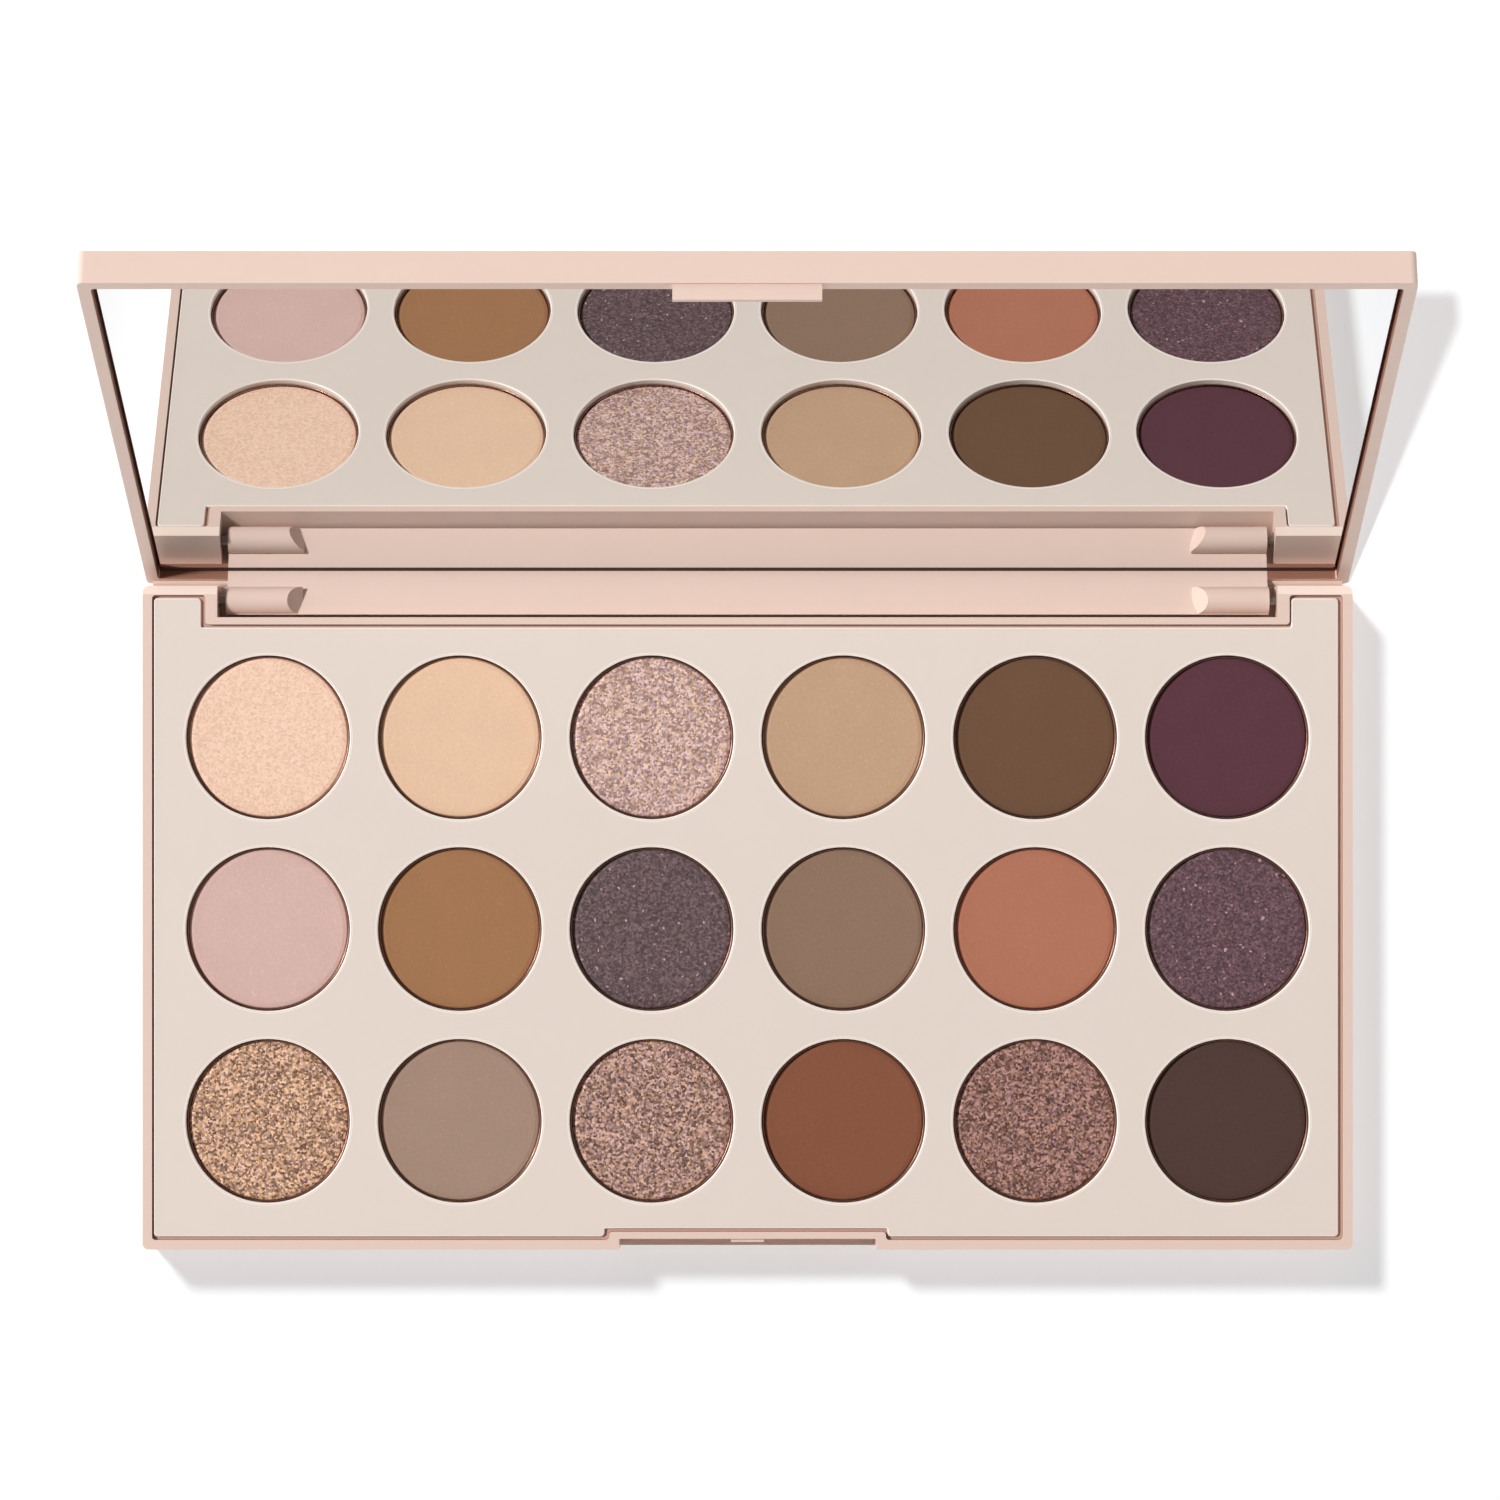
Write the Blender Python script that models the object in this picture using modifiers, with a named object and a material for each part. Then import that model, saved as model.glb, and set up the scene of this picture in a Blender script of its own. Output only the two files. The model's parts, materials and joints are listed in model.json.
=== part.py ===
"""An eighteen-pan eyeshadow palette with a full-size mirror in its hinged lid, standing open.

Metres, +Z up. The origin is at the centre of the base's underside: -Y is the front, with the
finger notch and the latch, and +Y is the back, with the hinge. The lid is modelled closed,
round the hinge axis, and the empty that carries it turns it to its open stop.
"""

import math

import bmesh
import bpy
from mathutils import Matrix, Vector

MM = 0.001

# Driving dimensions
BASE_WIDTH = 176.6 * MM
BASE_DEPTH = 96.9 * MM
BASE_HEIGHT = 9.2 * MM
LID_HEIGHT = 4.75 * MM
OPEN_ANGLE = math.radians(112.4)
ROWS = 3
COLUMNS = 6
PAN_PITCH = 28.0 * MM
GRID_OFFSET_Y = -1.7 * MM

# Base shell
RIM_WALL = 1.4 * MM
FLOOR = 1.2 * MM
OUTER_CORNER = 0.9 * MM
INNER_CORNER = 0.5 * MM
LEDGE_WIDTH = 1.0 * MM
SHELL_BEVEL = 0.2 * MM

# Deck, the insert that holds the pans
DECK_GAP = 0.38 * MM
DECK_DROP = 0.3 * MM
DECK_THICKNESS = 1.2 * MM
DECK_BEVEL = 0.3 * MM
SEAT_GAP = 0.1 * MM
WELL_RADIUS = 11.95 * MM
WELL_MOUTH_RADIUS = 12.25 * MM
WELL_WALL = 0.9 * MM
WELL_FLOOR = 0.8 * MM

# Pans and powders
PAN_RADIUS = 11.8 * MM
PAN_HEIGHT = 3.4 * MM
PAN_SHEET = 0.15 * MM
PAN_DROP = 0.7 * MM
POWDER_DROP = 0.9 * MM
POWDER_GAP = 0.03 * MM
POWDER_SHOULDER = 0.3 * MM

# Hinge
AXIS_BELOW_RIM = 3.45 * MM
AXIS_FROM_BACK = 2.1 * MM
RECESS_HALF_WIDTH = 77.4 * MM
RECESS_SIDE_WALL = 1.7 * MM
RECESS_FRONT = 2.53 * MM
RECESS_FRONT_WALL = 1.05 * MM
RECESS_FLOOR = 2.4 * MM
SKIRT_HALF_WIDTH = 76.3 * MM
KNUCKLE_RADIUS = 2.0 * MM
KNUCKLE_LENGTH = 11.1 * MM
KNUCKLE_SLANT = 2.1 * MM
PIN_RADIUS = 0.75 * MM
BORE_RADIUS = 0.82 * MM
PIN_LENGTH = 18.5 * MM
PIN_INSET = 0.5 * MM

# Lid
CLOSED_GAP = 0.2 * MM
LID_WALL = 1.75 * MM
MIRROR_RECESS = 1.2 * MM
MIRROR_THICKNESS = 1.5 * MM
MIRROR_SIDE_GAP = 0.2 * MM
MIRROR_BACK_GAP = 0.55 * MM
ADHESIVE_THICKNESS = 0.25 * MM
ADHESIVE_INSET = 4.0 * MM
LAYER_GAP = 0.1 * MM

# Finger notch and latch
NOTCH_HALF_WIDTH = 18.75 * MM
NOTCH_DEPTH = 1.58 * MM
NOTCH_SIDE_WALL = 1.45 * MM
NOTCH_BACK_WALL = 1.0 * MM
NIB_HALF_WIDTH = 2.4 * MM
NIB_DEPTH = 0.55 * MM
NIB_BELOW_RIM = 0.7 * MM
NIB_HEIGHT = 1.0 * MM
TAB_HALF_WIDTH = 9.85 * MM
TAB_HEIGHT = 2.3 * MM
TAB_SETBACK = 0.3 * MM
TAB_THICKNESS = 0.6 * MM

CIRCLE_STEPS = 32
CORNER_STEPS = 4
OVERSHOOT = 2.0 * MM
SHARP_ANGLE = math.radians(35)
WELD_DISTANCE = 0.001 * MM

# Worked out from the above
HALF_WIDTH = BASE_WIDTH / 2
HALF_DEPTH = BASE_DEPTH / 2
AXIS_Y = HALF_DEPTH - AXIS_FROM_BACK
AXIS_Z = BASE_HEIGHT - AXIS_BELOW_RIM
DECK_TOP = BASE_HEIGHT - DECK_DROP
DECK_UNDERSIDE = DECK_TOP - DECK_THICKNESS
PAN_TOP = DECK_TOP - PAN_DROP
PAN_BOTTOM = PAN_TOP - PAN_HEIGHT
WELL_BOTTOM = PAN_BOTTOM - SEAT_GAP
POWDER_TOP = DECK_TOP - POWDER_DROP
# Heights from the hinge axis, with the lid closed
LID_RIM = AXIS_BELOW_RIM + CLOSED_GAP
LID_TOP = LID_RIM + LID_HEIGHT
MIRROR_FACE = LID_RIM + MIRROR_RECESS
MIRROR_BACK = MIRROR_FACE + MIRROR_THICKNESS
ADHESIVE_FACE = MIRROR_BACK + LAYER_GAP
LID_CEILING = ADHESIVE_FACE + ADHESIVE_THICKNESS + LAYER_GAP
# The lid's front and back edges, from the hinge axis
LID_FRONT = AXIS_FROM_BACK - BASE_DEPTH
LID_BACK = AXIS_FROM_BACK
LID_BACK_INNER = LID_BACK - LID_WALL

PALETTE = "eyeshadow_palette"

# Each powder's finish: the roughness and the metallic value of its surface
FINISHES = {
    "matte": (0.9, 0.0),
    "satin": (0.6, 0.15),
    "shimmer": (0.5, 0.3),
    "glitter": (0.35, 0.6),
}
# The powders from left to right, with the row next to the hinge first: name, screen colour
# (red, green, blue out of 255) and finish
SHADES = (
    (
        ("peach_satin", (240, 205, 180), "satin"),
        ("pale_peach", (230, 196, 166), "matte"),
        ("rose_silver", (200, 168, 158), "glitter"),
        ("warm_tan", (194, 160, 130), "matte"),
        ("olive_brown", (110, 80, 60), "matte"),
        ("deep_plum", (92, 56, 66), "matte"),
    ),
    (
        ("dusty_pink", (214, 181, 173), "satin"),
        ("golden_brown", (162, 118, 83), "matte"),
        ("plum_grey", (105, 83, 86), "shimmer"),
        ("taupe", (143, 116, 97), "matte"),
        ("terracotta", (178, 117, 93), "matte"),
        ("mauve_plum", (106, 76, 84), "shimmer"),
    ),
    (
        ("gold_bronze", (180, 142, 117), "glitter"),
        ("mauve_taupe", (165, 138, 122), "matte"),
        ("rose_taupe", (162, 128, 116), "glitter"),
        ("rust_brown", (135, 85, 63), "matte"),
        ("mauve_brown", (142, 105, 96), "glitter"),
        ("dark_brown", (81, 60, 55), "matte"),
    ),
)
SHELL_COLOUR = (232, 208, 195)
DECK_COLOUR = (229, 217, 207)
MIRROR_COLOUR = (235, 238, 240)
ADHESIVE_COLOUR = (60, 58, 56)
PAN_COLOUR = (190, 188, 186)
STEEL_COLOUR = (150, 145, 140)


# Scene and materials


def clear_scene():
    for obj in list(bpy.data.objects):
        bpy.data.objects.remove(obj, do_unlink=True)


def new_collection(name):
    collection = bpy.data.collections.new(name)
    bpy.context.scene.collection.children.link(collection)
    return collection


def linear(colour):
    """A screen colour out of 255 as the linear colour that a shader takes."""
    channels = []
    for channel in colour:
        value = channel / 255
        channels.append(value / 12.92 if value <= 0.04045 else ((value + 0.055) / 1.055) ** 2.4)
    return (*channels, 1.0)


def new_material(name, colour, roughness, metallic=0.0):
    material = bpy.data.materials.new(name)
    material.use_nodes = True
    shader = material.node_tree.nodes["Principled BSDF"]
    shader.inputs["Base Color"].default_value = linear(colour)
    shader.inputs["Roughness"].default_value = roughness
    shader.inputs["Metallic"].default_value = metallic
    return material


# Shapes


def rounded(corners):
    """The closed outline through (x, y, radius) corners, with an arc at each corner."""
    outline = []
    for index, (x, y, radius) in enumerate(corners):
        corner = Vector((x, y))
        before = (Vector(corners[index - 1][:2]) - corner).normalized()
        after = (Vector(corners[(index + 1) % len(corners)][:2]) - corner).normalized()
        half_angle = before.angle(after) / 2
        centre = corner + (before + after).normalized() * (radius / math.sin(half_angle))
        run = radius / math.tan(half_angle)
        start = (corner + before * run - centre).normalized()
        end = (corner + after * run - centre).normalized()
        for step in range(CORNER_STEPS + 1):
            outline.append(centre + start.slerp(end, step / CORNER_STEPS) * radius)
    return outline


def rectangle(left, right, front, back, radius):
    corners = ((left, front), (right, front), (right, back), (left, back))
    return rounded([(x, y, radius) for x, y in corners])


def arc(radius, first_angle, last_angle, steps):
    """Points round the origin, from one angle to another, in radians."""
    points = []
    for step in range(steps + 1):
        angle = first_angle + (last_angle - first_angle) * step / steps
        points.append(Vector((radius * math.cos(angle), radius * math.sin(angle))))
    return points


def mesh_object(name, mesh, collection):
    obj = bpy.data.objects.new(name, mesh)
    collection.objects.link(obj)
    return obj


def slab(name, outline, bottom, top, collection):
    """A flat solid of this outline: a filled 2D curve with an extrusion, made a welded mesh."""
    curve = bpy.data.curves.new(name, "CURVE")
    curve.dimensions = "2D"
    curve.fill_mode = "BOTH"
    curve.extrude = (top - bottom) / 2
    spline = curve.splines.new("POLY")
    spline.points.add(len(outline) - 1)
    for point, place in zip(spline.points, outline):
        point.co = (place[0], place[1], 0, 1)
    spline.use_cyclic_u = True
    guide = bpy.data.objects.new(name + "_outline", curve)
    collection.objects.link(guide)
    guide.location.z = (bottom + top) / 2
    bpy.context.view_layer.update()
    evaluated = guide.evaluated_get(bpy.context.evaluated_depsgraph_get())
    mesh = bpy.data.meshes.new_from_object(evaluated)
    mesh.transform(guide.matrix_world)
    bpy.data.objects.remove(guide, do_unlink=True)
    work = bmesh.new()
    work.from_mesh(mesh)
    bmesh.ops.remove_doubles(work, verts=work.verts, dist=WELD_DISTANCE)
    bmesh.ops.dissolve_limit(work, angle_limit=math.radians(1), verts=work.verts, edges=work.edges)
    bmesh.ops.recalc_face_normals(work, faces=work.faces)
    work.to_mesh(mesh)
    work.free()
    mesh.name = name
    return mesh_object(name, mesh, collection)


def across(name, outline, left, right, collection):
    """A solid with this outline in the YZ plane, from one X to another."""
    obj = slab(name, outline, left, right, collection)
    obj.data.transform(Matrix(((0, 0, 1, 0), (1, 0, 0, 0), (0, 1, 0, 0), (0, 0, 0, 1))))
    return obj


def box(name, low, high, collection):
    size = [top - bottom for bottom, top in zip(low, high)]
    middle = [(top + bottom) / 2 for bottom, top in zip(low, high)]
    mesh = bpy.data.meshes.new(name)
    work = bmesh.new()
    place = Matrix.Translation(middle) @ Matrix.Diagonal((*size, 1))
    bmesh.ops.create_cube(work, size=1, matrix=place)
    work.to_mesh(mesh)
    work.free()
    return mesh_object(name, mesh, collection)


def add_rod(work, radius, left, right):
    """A cylinder along X in this bmesh."""
    place = Matrix.Translation(((left + right) / 2, 0, 0)) @ Matrix.Rotation(math.pi / 2, 4, "Y")
    bmesh.ops.create_cone(
        work,
        cap_ends=True,
        segments=CIRCLE_STEPS,
        radius1=radius,
        radius2=radius,
        depth=right - left,
        matrix=place,
    )


def rod(name, radius, left, right, collection):
    mesh = bpy.data.meshes.new(name)
    work = bmesh.new()
    add_rod(work, radius, left, right)
    work.to_mesh(mesh)
    work.free()
    return mesh_object(name, mesh, collection)


def profile_mesh(name, profile):
    """A turned shape's profile at +X, as (radius, height) points down its outer side."""
    mesh = bpy.data.meshes.new(name)
    points = [(radius, 0, height) for radius, height in profile]
    edges = [(index, index + 1) for index in range(len(points) - 1)]
    mesh.from_pydata(points, edges, [])
    return mesh


def turn(obj):
    screw = obj.modifiers.new("turn", "SCREW")
    screw.steps = CIRCLE_STEPS
    screw.render_steps = CIRCLE_STEPS
    screw.use_merge_vertices = True
    screw.merge_threshold = 0.01 * MM
    screw.use_smooth_shade = True


def boolean(target, tool, operation):
    """Joins the tool to the target or cuts it away, and makes it a helper that isn't drawn."""
    modifier = target.modifiers.new(tool.name, "BOOLEAN")
    modifier.operation = operation
    modifier.object = tool
    modifier.solver = "EXACT"
    tool.hide_render = True
    tool.display_type = "WIRE"


def bevel(target, width, segments=2):
    modifier = target.modifiers.new("edges", "BEVEL")
    modifier.width = width
    modifier.segments = segments
    modifier.limit_method = "ANGLE"
    modifier.angle_limit = SHARP_ANGLE


def finish(obj, material, parent=None):
    """Gives a part its material and parent, with its round faces shaded smooth."""
    obj.data.materials.clear()
    obj.data.materials.append(material)
    if obj.data.polygons:
        obj.data.shade_smooth()
        obj.data.set_sharp_from_angle(angle=SHARP_ANGLE)
    obj.parent = parent
    return obj


# Base


def deck_outline(gap, corner):
    """The deck's plan, set in by gap from the walls that hold it."""
    side = HALF_WIDTH - RIM_WALL - gap
    front = -HALF_DEPTH + RIM_WALL + gap
    back = HALF_DEPTH - RIM_WALL - gap
    notch_side = NOTCH_HALF_WIDTH + NOTCH_SIDE_WALL + gap
    notch_front = -HALF_DEPTH + NOTCH_DEPTH + NOTCH_BACK_WALL + gap
    recess_side = RECESS_HALF_WIDTH + RECESS_SIDE_WALL + gap
    recess_back = AXIS_Y - RECESS_FRONT - RECESS_FRONT_WALL - gap
    right_half = [
        (notch_side, notch_front, corner),
        (notch_side, front, corner),
        (side, front, corner),
        (side, back, corner),
        (recess_side, back, corner),
        (recess_side, recess_back, corner),
    ]
    left_half = [(-x, y, radius) for x, y, radius in reversed(right_half)]
    return rounded(right_half + left_half)


def make_base_shell(parts, cutters, material):
    """The tray: outer walls, a ledge for the deck, the hinge recess and the finger notch."""
    outline = rectangle(-HALF_WIDTH, HALF_WIDTH, -HALF_DEPTH, HALF_DEPTH, OUTER_CORNER)
    shell = slab("base_shell", outline, 0, BASE_HEIGHT, parts)
    bevel(shell, SHELL_BEVEL)
    above = BASE_HEIGHT + OVERSHOOT
    ledge = DECK_UNDERSIDE - SEAT_GAP
    deck_pocket = slab("deck_pocket", deck_outline(0, INNER_CORNER), ledge, above, cutters)
    boolean(shell, deck_pocket, "DIFFERENCE")
    well_space = slab("well_space", deck_outline(LEDGE_WIDTH, INNER_CORNER), FLOOR, above, cutters)
    boolean(shell, well_space, "DIFFERENCE")
    hinge_recess = box(
        "hinge_recess",
        (-RECESS_HALF_WIDTH, AXIS_Y - RECESS_FRONT, RECESS_FLOOR),
        (RECESS_HALF_WIDTH, HALF_DEPTH + OVERSHOOT, above),
        cutters,
    )
    boolean(shell, hinge_recess, "DIFFERENCE")
    finger_notch = box(
        "finger_notch",
        (-NOTCH_HALF_WIDTH, -HALF_DEPTH - OVERSHOOT, FLOOR),
        (NOTCH_HALF_WIDTH, -HALF_DEPTH + NOTCH_DEPTH, above),
        cutters,
    )
    boolean(shell, finger_notch, "DIFFERENCE")
    boolean(shell, make_back_edge_cutter(cutters), "DIFFERENCE")
    boolean(shell, make_latch_nib(cutters), "UNION")
    for side in (-1, 1):
        boolean(shell, make_pin_bore(side, cutters), "DIFFERENCE")
    return finish(shell, material)


def make_back_edge_cutter(cutters):
    """Rounds the top back edge about the hinge axis, so that the lid's rim turns past it."""
    radius = LID_RIM - 0.1 * MM
    edge = arc(radius, math.radians(80), math.radians(48), 6)
    outline = edge + [
        Vector((LID_RIM + OVERSHOOT, edge[-1].y)),
        Vector((LID_RIM + OVERSHOOT, LID_RIM + OVERSHOOT)),
        Vector((edge[0].x, LID_RIM + OVERSHOOT)),
    ]
    reach = HALF_WIDTH + OVERSHOOT
    cutter = across("back_edge", outline, -reach, reach, cutters)
    cutter.location = (0, AXIS_Y, AXIS_Z)
    return cutter


def make_latch_nib(cutters):
    """The small ramped catch on the notch's back wall, which the lid's tab presses past."""
    wall = -HALF_DEPTH + NOTCH_DEPTH
    top = BASE_HEIGHT - NIB_BELOW_RIM
    outline = [
        Vector((wall + NOTCH_BACK_WALL / 2, top)),
        Vector((wall + NOTCH_BACK_WALL / 2, top - NIB_HEIGHT)),
        Vector((wall, top - NIB_HEIGHT)),
        Vector((wall - NIB_DEPTH, top - NIB_HEIGHT * 2 / 3)),
        Vector((wall - NIB_DEPTH, top - NIB_HEIGHT / 3)),
        Vector((wall, top)),
    ]
    return across("latch_nib", outline, -NIB_HALF_WIDTH, NIB_HALF_WIDTH, cutters)


def make_pin_bore(side, cutters):
    """The hole for one hinge pin, through the base's side wall and the recess's side wall."""
    reach = HALF_WIDTH + OVERSHOOT
    inner = RECESS_HALF_WIDTH - OVERSHOOT / 2
    left, right = sorted((side * inner, side * reach))
    bore = rod("pin_bore", BORE_RADIUS, left, right, cutters)
    bore.location = (0, AXIS_Y, AXIS_Z)
    return bore


# Deck, pans and powders


def pan_places():
    """(row, column, x, y) of every pan: row 1 is next to the hinge and column 1 on the left."""
    places = []
    for row in range(ROWS):
        for column in range(COLUMNS):
            x = (column - (COLUMNS - 1) / 2) * PAN_PITCH
            y = ((ROWS - 1) / 2 - row) * PAN_PITCH + GRID_OFFSET_Y
            places.append((row + 1, column + 1, x, y))
    return places


def copies_at_pans(name, profile, collection):
    """One mesh that holds a turned solid at every pan's place."""
    pattern = mesh_object(name + "_pattern", profile_mesh(name, profile), collection)
    turn(pattern)
    bpy.context.view_layer.update()
    evaluated = pattern.evaluated_get(bpy.context.evaluated_depsgraph_get())
    turned = bpy.data.meshes.new_from_object(evaluated)
    bpy.data.objects.remove(pattern, do_unlink=True)
    work = bmesh.new()
    for _, _, x, y in pan_places():
        copy = turned.copy()
        copy.transform(Matrix.Translation((x, y, 0)))
        work.from_mesh(copy)
        bpy.data.meshes.remove(copy)
    mesh = bpy.data.meshes.new(name)
    work.to_mesh(mesh)
    work.free()
    return mesh_object(name, mesh, collection)


def make_pan_deck(parts, cutters, material):
    """The insert: a plate with a bevelled rim, and a cup under it for every pan."""
    deck = slab("pan_deck", deck_outline(DECK_GAP, INNER_CORNER), DECK_UNDERSIDE, DECK_TOP, parts)
    bevel(deck, DECK_BEVEL, segments=1)
    cup_radius = WELL_RADIUS + WELL_WALL
    cup_top = DECK_UNDERSIDE + DECK_THICKNESS / 2
    cup_bottom = WELL_BOTTOM - WELL_FLOOR
    cup = [(0, cup_top), (cup_radius, cup_top), (cup_radius, cup_bottom), (0, cup_bottom)]
    boolean(deck, copies_at_pans("well_cups", cup, cutters), "UNION")
    lip = WELL_MOUTH_RADIUS - WELL_RADIUS
    bore = [
        (0, DECK_TOP + lip),
        (WELL_MOUTH_RADIUS + lip, DECK_TOP + lip),
        (WELL_RADIUS, DECK_TOP - lip),
        (WELL_RADIUS, WELL_BOTTOM),
        (0, WELL_BOTTOM),
    ]
    boolean(deck, copies_at_pans("well_bores", bore, cutters), "DIFFERENCE")
    return finish(deck, material)


def make_pans(parts, material):
    """Drawn metal pans, one in each well."""
    inner = PAN_RADIUS - PAN_SHEET
    profile = [
        (0, PAN_BOTTOM + PAN_SHEET),
        (inner, PAN_BOTTOM + PAN_SHEET),
        (inner, PAN_TOP),
        (PAN_RADIUS, PAN_TOP),
        (PAN_RADIUS, PAN_BOTTOM),
        (0, PAN_BOTTOM),
    ]
    mesh = profile_mesh("pan", profile)
    for row, column, x, y in pan_places():
        pan = mesh_object(f"pan_r{row}c{column}", mesh, parts)
        pan.location = (x, y, 0)
        turn(pan)
        finish(pan, material)


def make_powders(parts):
    """The pressed powder in each pan, with a soft shoulder just inside the pan's rim."""
    radius = PAN_RADIUS - PAN_SHEET - POWDER_GAP
    bottom = PAN_BOTTOM + PAN_SHEET + POWDER_GAP
    profile = [
        (0, POWDER_TOP),
        (radius - POWDER_SHOULDER, POWDER_TOP),
        (radius, POWDER_TOP - POWDER_SHOULDER),
        (radius, bottom),
        (0, bottom),
    ]
    for row, column, x, y in pan_places():
        name = f"powder_r{row}c{column}"
        shade, colour, surface = SHADES[row - 1][column - 1]
        powder = mesh_object(name, profile_mesh(name, profile), parts)
        powder.location = (x, y, 0)
        turn(powder)
        finish(powder, new_material(shade, colour, *FINISHES[surface]))


# Hinge and lid


def make_hinge_pins(parts, material):
    """A steel pin at each end of the hinge, pushed in through the side of the base."""
    outer = HALF_WIDTH - PIN_INSET
    inner = outer - PIN_LENGTH
    for name, side in (("hinge_pin_left", -1), ("hinge_pin_right", 1)):
        left, right = sorted((side * inner, side * outer))
        pin = rod(name, PIN_RADIUS, left, right, parts)
        pin.location = (0, AXIS_Y, AXIS_Z)
        finish(pin, material)


def make_lid_hinge(parts):
    """The empty on the hinge axis, turned to the lid's open stop, that carries the lid."""
    hinge = bpy.data.objects.new("lid_hinge", None)
    parts.objects.link(hinge)
    hinge.location = (0, AXIS_Y, AXIS_Z)
    hinge.rotation_euler.x = -OPEN_ANGLE
    return hinge


def make_skirt(cutters):
    """The lid's back wall below its rim, rounded about the hinge axis at its lower end."""
    above = LID_RIM + SHELL_BEVEL * 3
    lowest = -math.acos(LID_BACK_INNER / LID_BACK)
    edge = arc(LID_BACK, 0, lowest, 6)
    outline = edge + [Vector((LID_BACK_INNER, above)), Vector((LID_BACK, above))]
    return across("skirt", outline, -SKIRT_HALF_WIDTH, SKIRT_HALF_WIDTH, cutters)


def make_knuckle(side, cutters):
    """The barrel at one end of the skirt, its inner end cut at a slant down to the skirt."""
    outer = side * SKIRT_HALF_WIDTH
    inner = side * (SKIRT_HALF_WIDTH - KNUCKLE_LENGTH)
    mesh = bpy.data.meshes.new("knuckle")
    work = bmesh.new()
    add_rod(work, KNUCKLE_RADIUS, *sorted((outer, inner)))
    rise = LID_BACK_INNER + KNUCKLE_RADIUS
    cut = bmesh.ops.bisect_plane(
        work,
        geom=[*work.verts, *work.edges, *work.faces],
        plane_co=(inner, LID_BACK_INNER, 0),
        plane_no=(-side * rise, -KNUCKLE_SLANT, 0),
        clear_outer=True,
    )
    rim = [part for part in cut["geom_cut"] if isinstance(part, bmesh.types.BMEdge)]
    bmesh.ops.holes_fill(work, edges=rim)
    bmesh.ops.recalc_face_normals(work, faces=work.faces)
    work.to_mesh(mesh)
    work.free()
    return mesh_object("knuckle", mesh, cutters)


def make_latch_tab(cutters):
    """The thin tab on the lid's front wall that drops into the finger notch."""
    front = LID_FRONT + TAB_SETBACK
    return box(
        "latch_tab",
        (-TAB_HALF_WIDTH, front, LID_RIM - TAB_HEIGHT),
        (TAB_HALF_WIDTH, front + TAB_THICKNESS, LID_RIM + SHELL_BEVEL * 3),
        cutters,
    )


def make_lid_shell(parts, cutters, material, hinge):
    """The lid: a shallow tray for the mirror, with the hinge skirt, knuckles and latch tab."""
    outline = rectangle(-HALF_WIDTH, HALF_WIDTH, LID_FRONT, LID_BACK, OUTER_CORNER)
    shell = slab("lid_shell", outline, LID_RIM, LID_TOP, parts)
    bevel(shell, SHELL_BEVEL)
    side = HALF_WIDTH - LID_WALL
    pocket_outline = rectangle(-side, side, LID_FRONT + LID_WALL, LID_BACK_INNER, INNER_CORNER)
    pocket = slab("mirror_pocket", pocket_outline, LID_RIM - OVERSHOOT, LID_CEILING, cutters)
    joined = [
        make_skirt(cutters),
        make_knuckle(-1, cutters),
        make_knuckle(1, cutters),
        make_latch_tab(cutters),
    ]
    boolean(shell, pocket, "DIFFERENCE")
    for tool in joined:
        boolean(shell, tool, "UNION")
    bores = []
    for direction in (-1, 1):
        inner = SKIRT_HALF_WIDTH - KNUCKLE_LENGTH + KNUCKLE_SLANT
        ends = sorted((direction * inner, direction * (SKIRT_HALF_WIDTH + OVERSHOOT)))
        bores.append(rod("knuckle_bore", BORE_RADIUS, *ends, cutters))
    for bore in bores:
        boolean(shell, bore, "DIFFERENCE")
    for tool in [*joined, pocket, *bores]:
        tool.parent = hinge
    return finish(shell, material, hinge)


def make_mirror(parts, cutters, glass, adhesive, hinge):
    """The mirror that fills the lid, and the adhesive pad that holds it."""
    side = HALF_WIDTH - LID_WALL - MIRROR_SIDE_GAP
    front = LID_FRONT + LID_WALL + MIRROR_SIDE_GAP
    back = LID_BACK_INNER - MIRROR_BACK_GAP
    outline = rectangle(-side, side, front, back, INNER_CORNER)
    mirror = slab("mirror_glass", outline, MIRROR_FACE, MIRROR_BACK, parts)
    finish(mirror, glass, hinge)
    pad_outline = rectangle(
        -side + ADHESIVE_INSET,
        side - ADHESIVE_INSET,
        front + ADHESIVE_INSET,
        back - ADHESIVE_INSET,
        INNER_CORNER,
    )
    top = ADHESIVE_FACE + ADHESIVE_THICKNESS
    pad = slab("mirror_adhesive", pad_outline, ADHESIVE_FACE, top, parts)
    finish(pad, adhesive, hinge)


def main():
    clear_scene()
    parts = new_collection(PALETTE)
    cutters = new_collection("cutters")
    shell = new_material("blush_plastic", SHELL_COLOUR, 0.4)
    make_base_shell(parts, cutters, shell)
    make_pan_deck(parts, cutters, new_material("cream_plastic", DECK_COLOUR, 0.45))
    make_pans(parts, new_material("pan_metal", PAN_COLOUR, 0.3, 1.0))
    make_powders(parts)
    make_hinge_pins(parts, new_material("pin_steel", STEEL_COLOUR, 0.3, 1.0))
    hinge = make_lid_hinge(parts)
    make_lid_shell(parts, cutters, shell, hinge)
    glass = new_material("mirror", MIRROR_COLOUR, 0.02, 1.0)
    adhesive = new_material("adhesive", ADHESIVE_COLOUR, 0.8)
    make_mirror(parts, cutters, glass, adhesive, hinge)


main()
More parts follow.
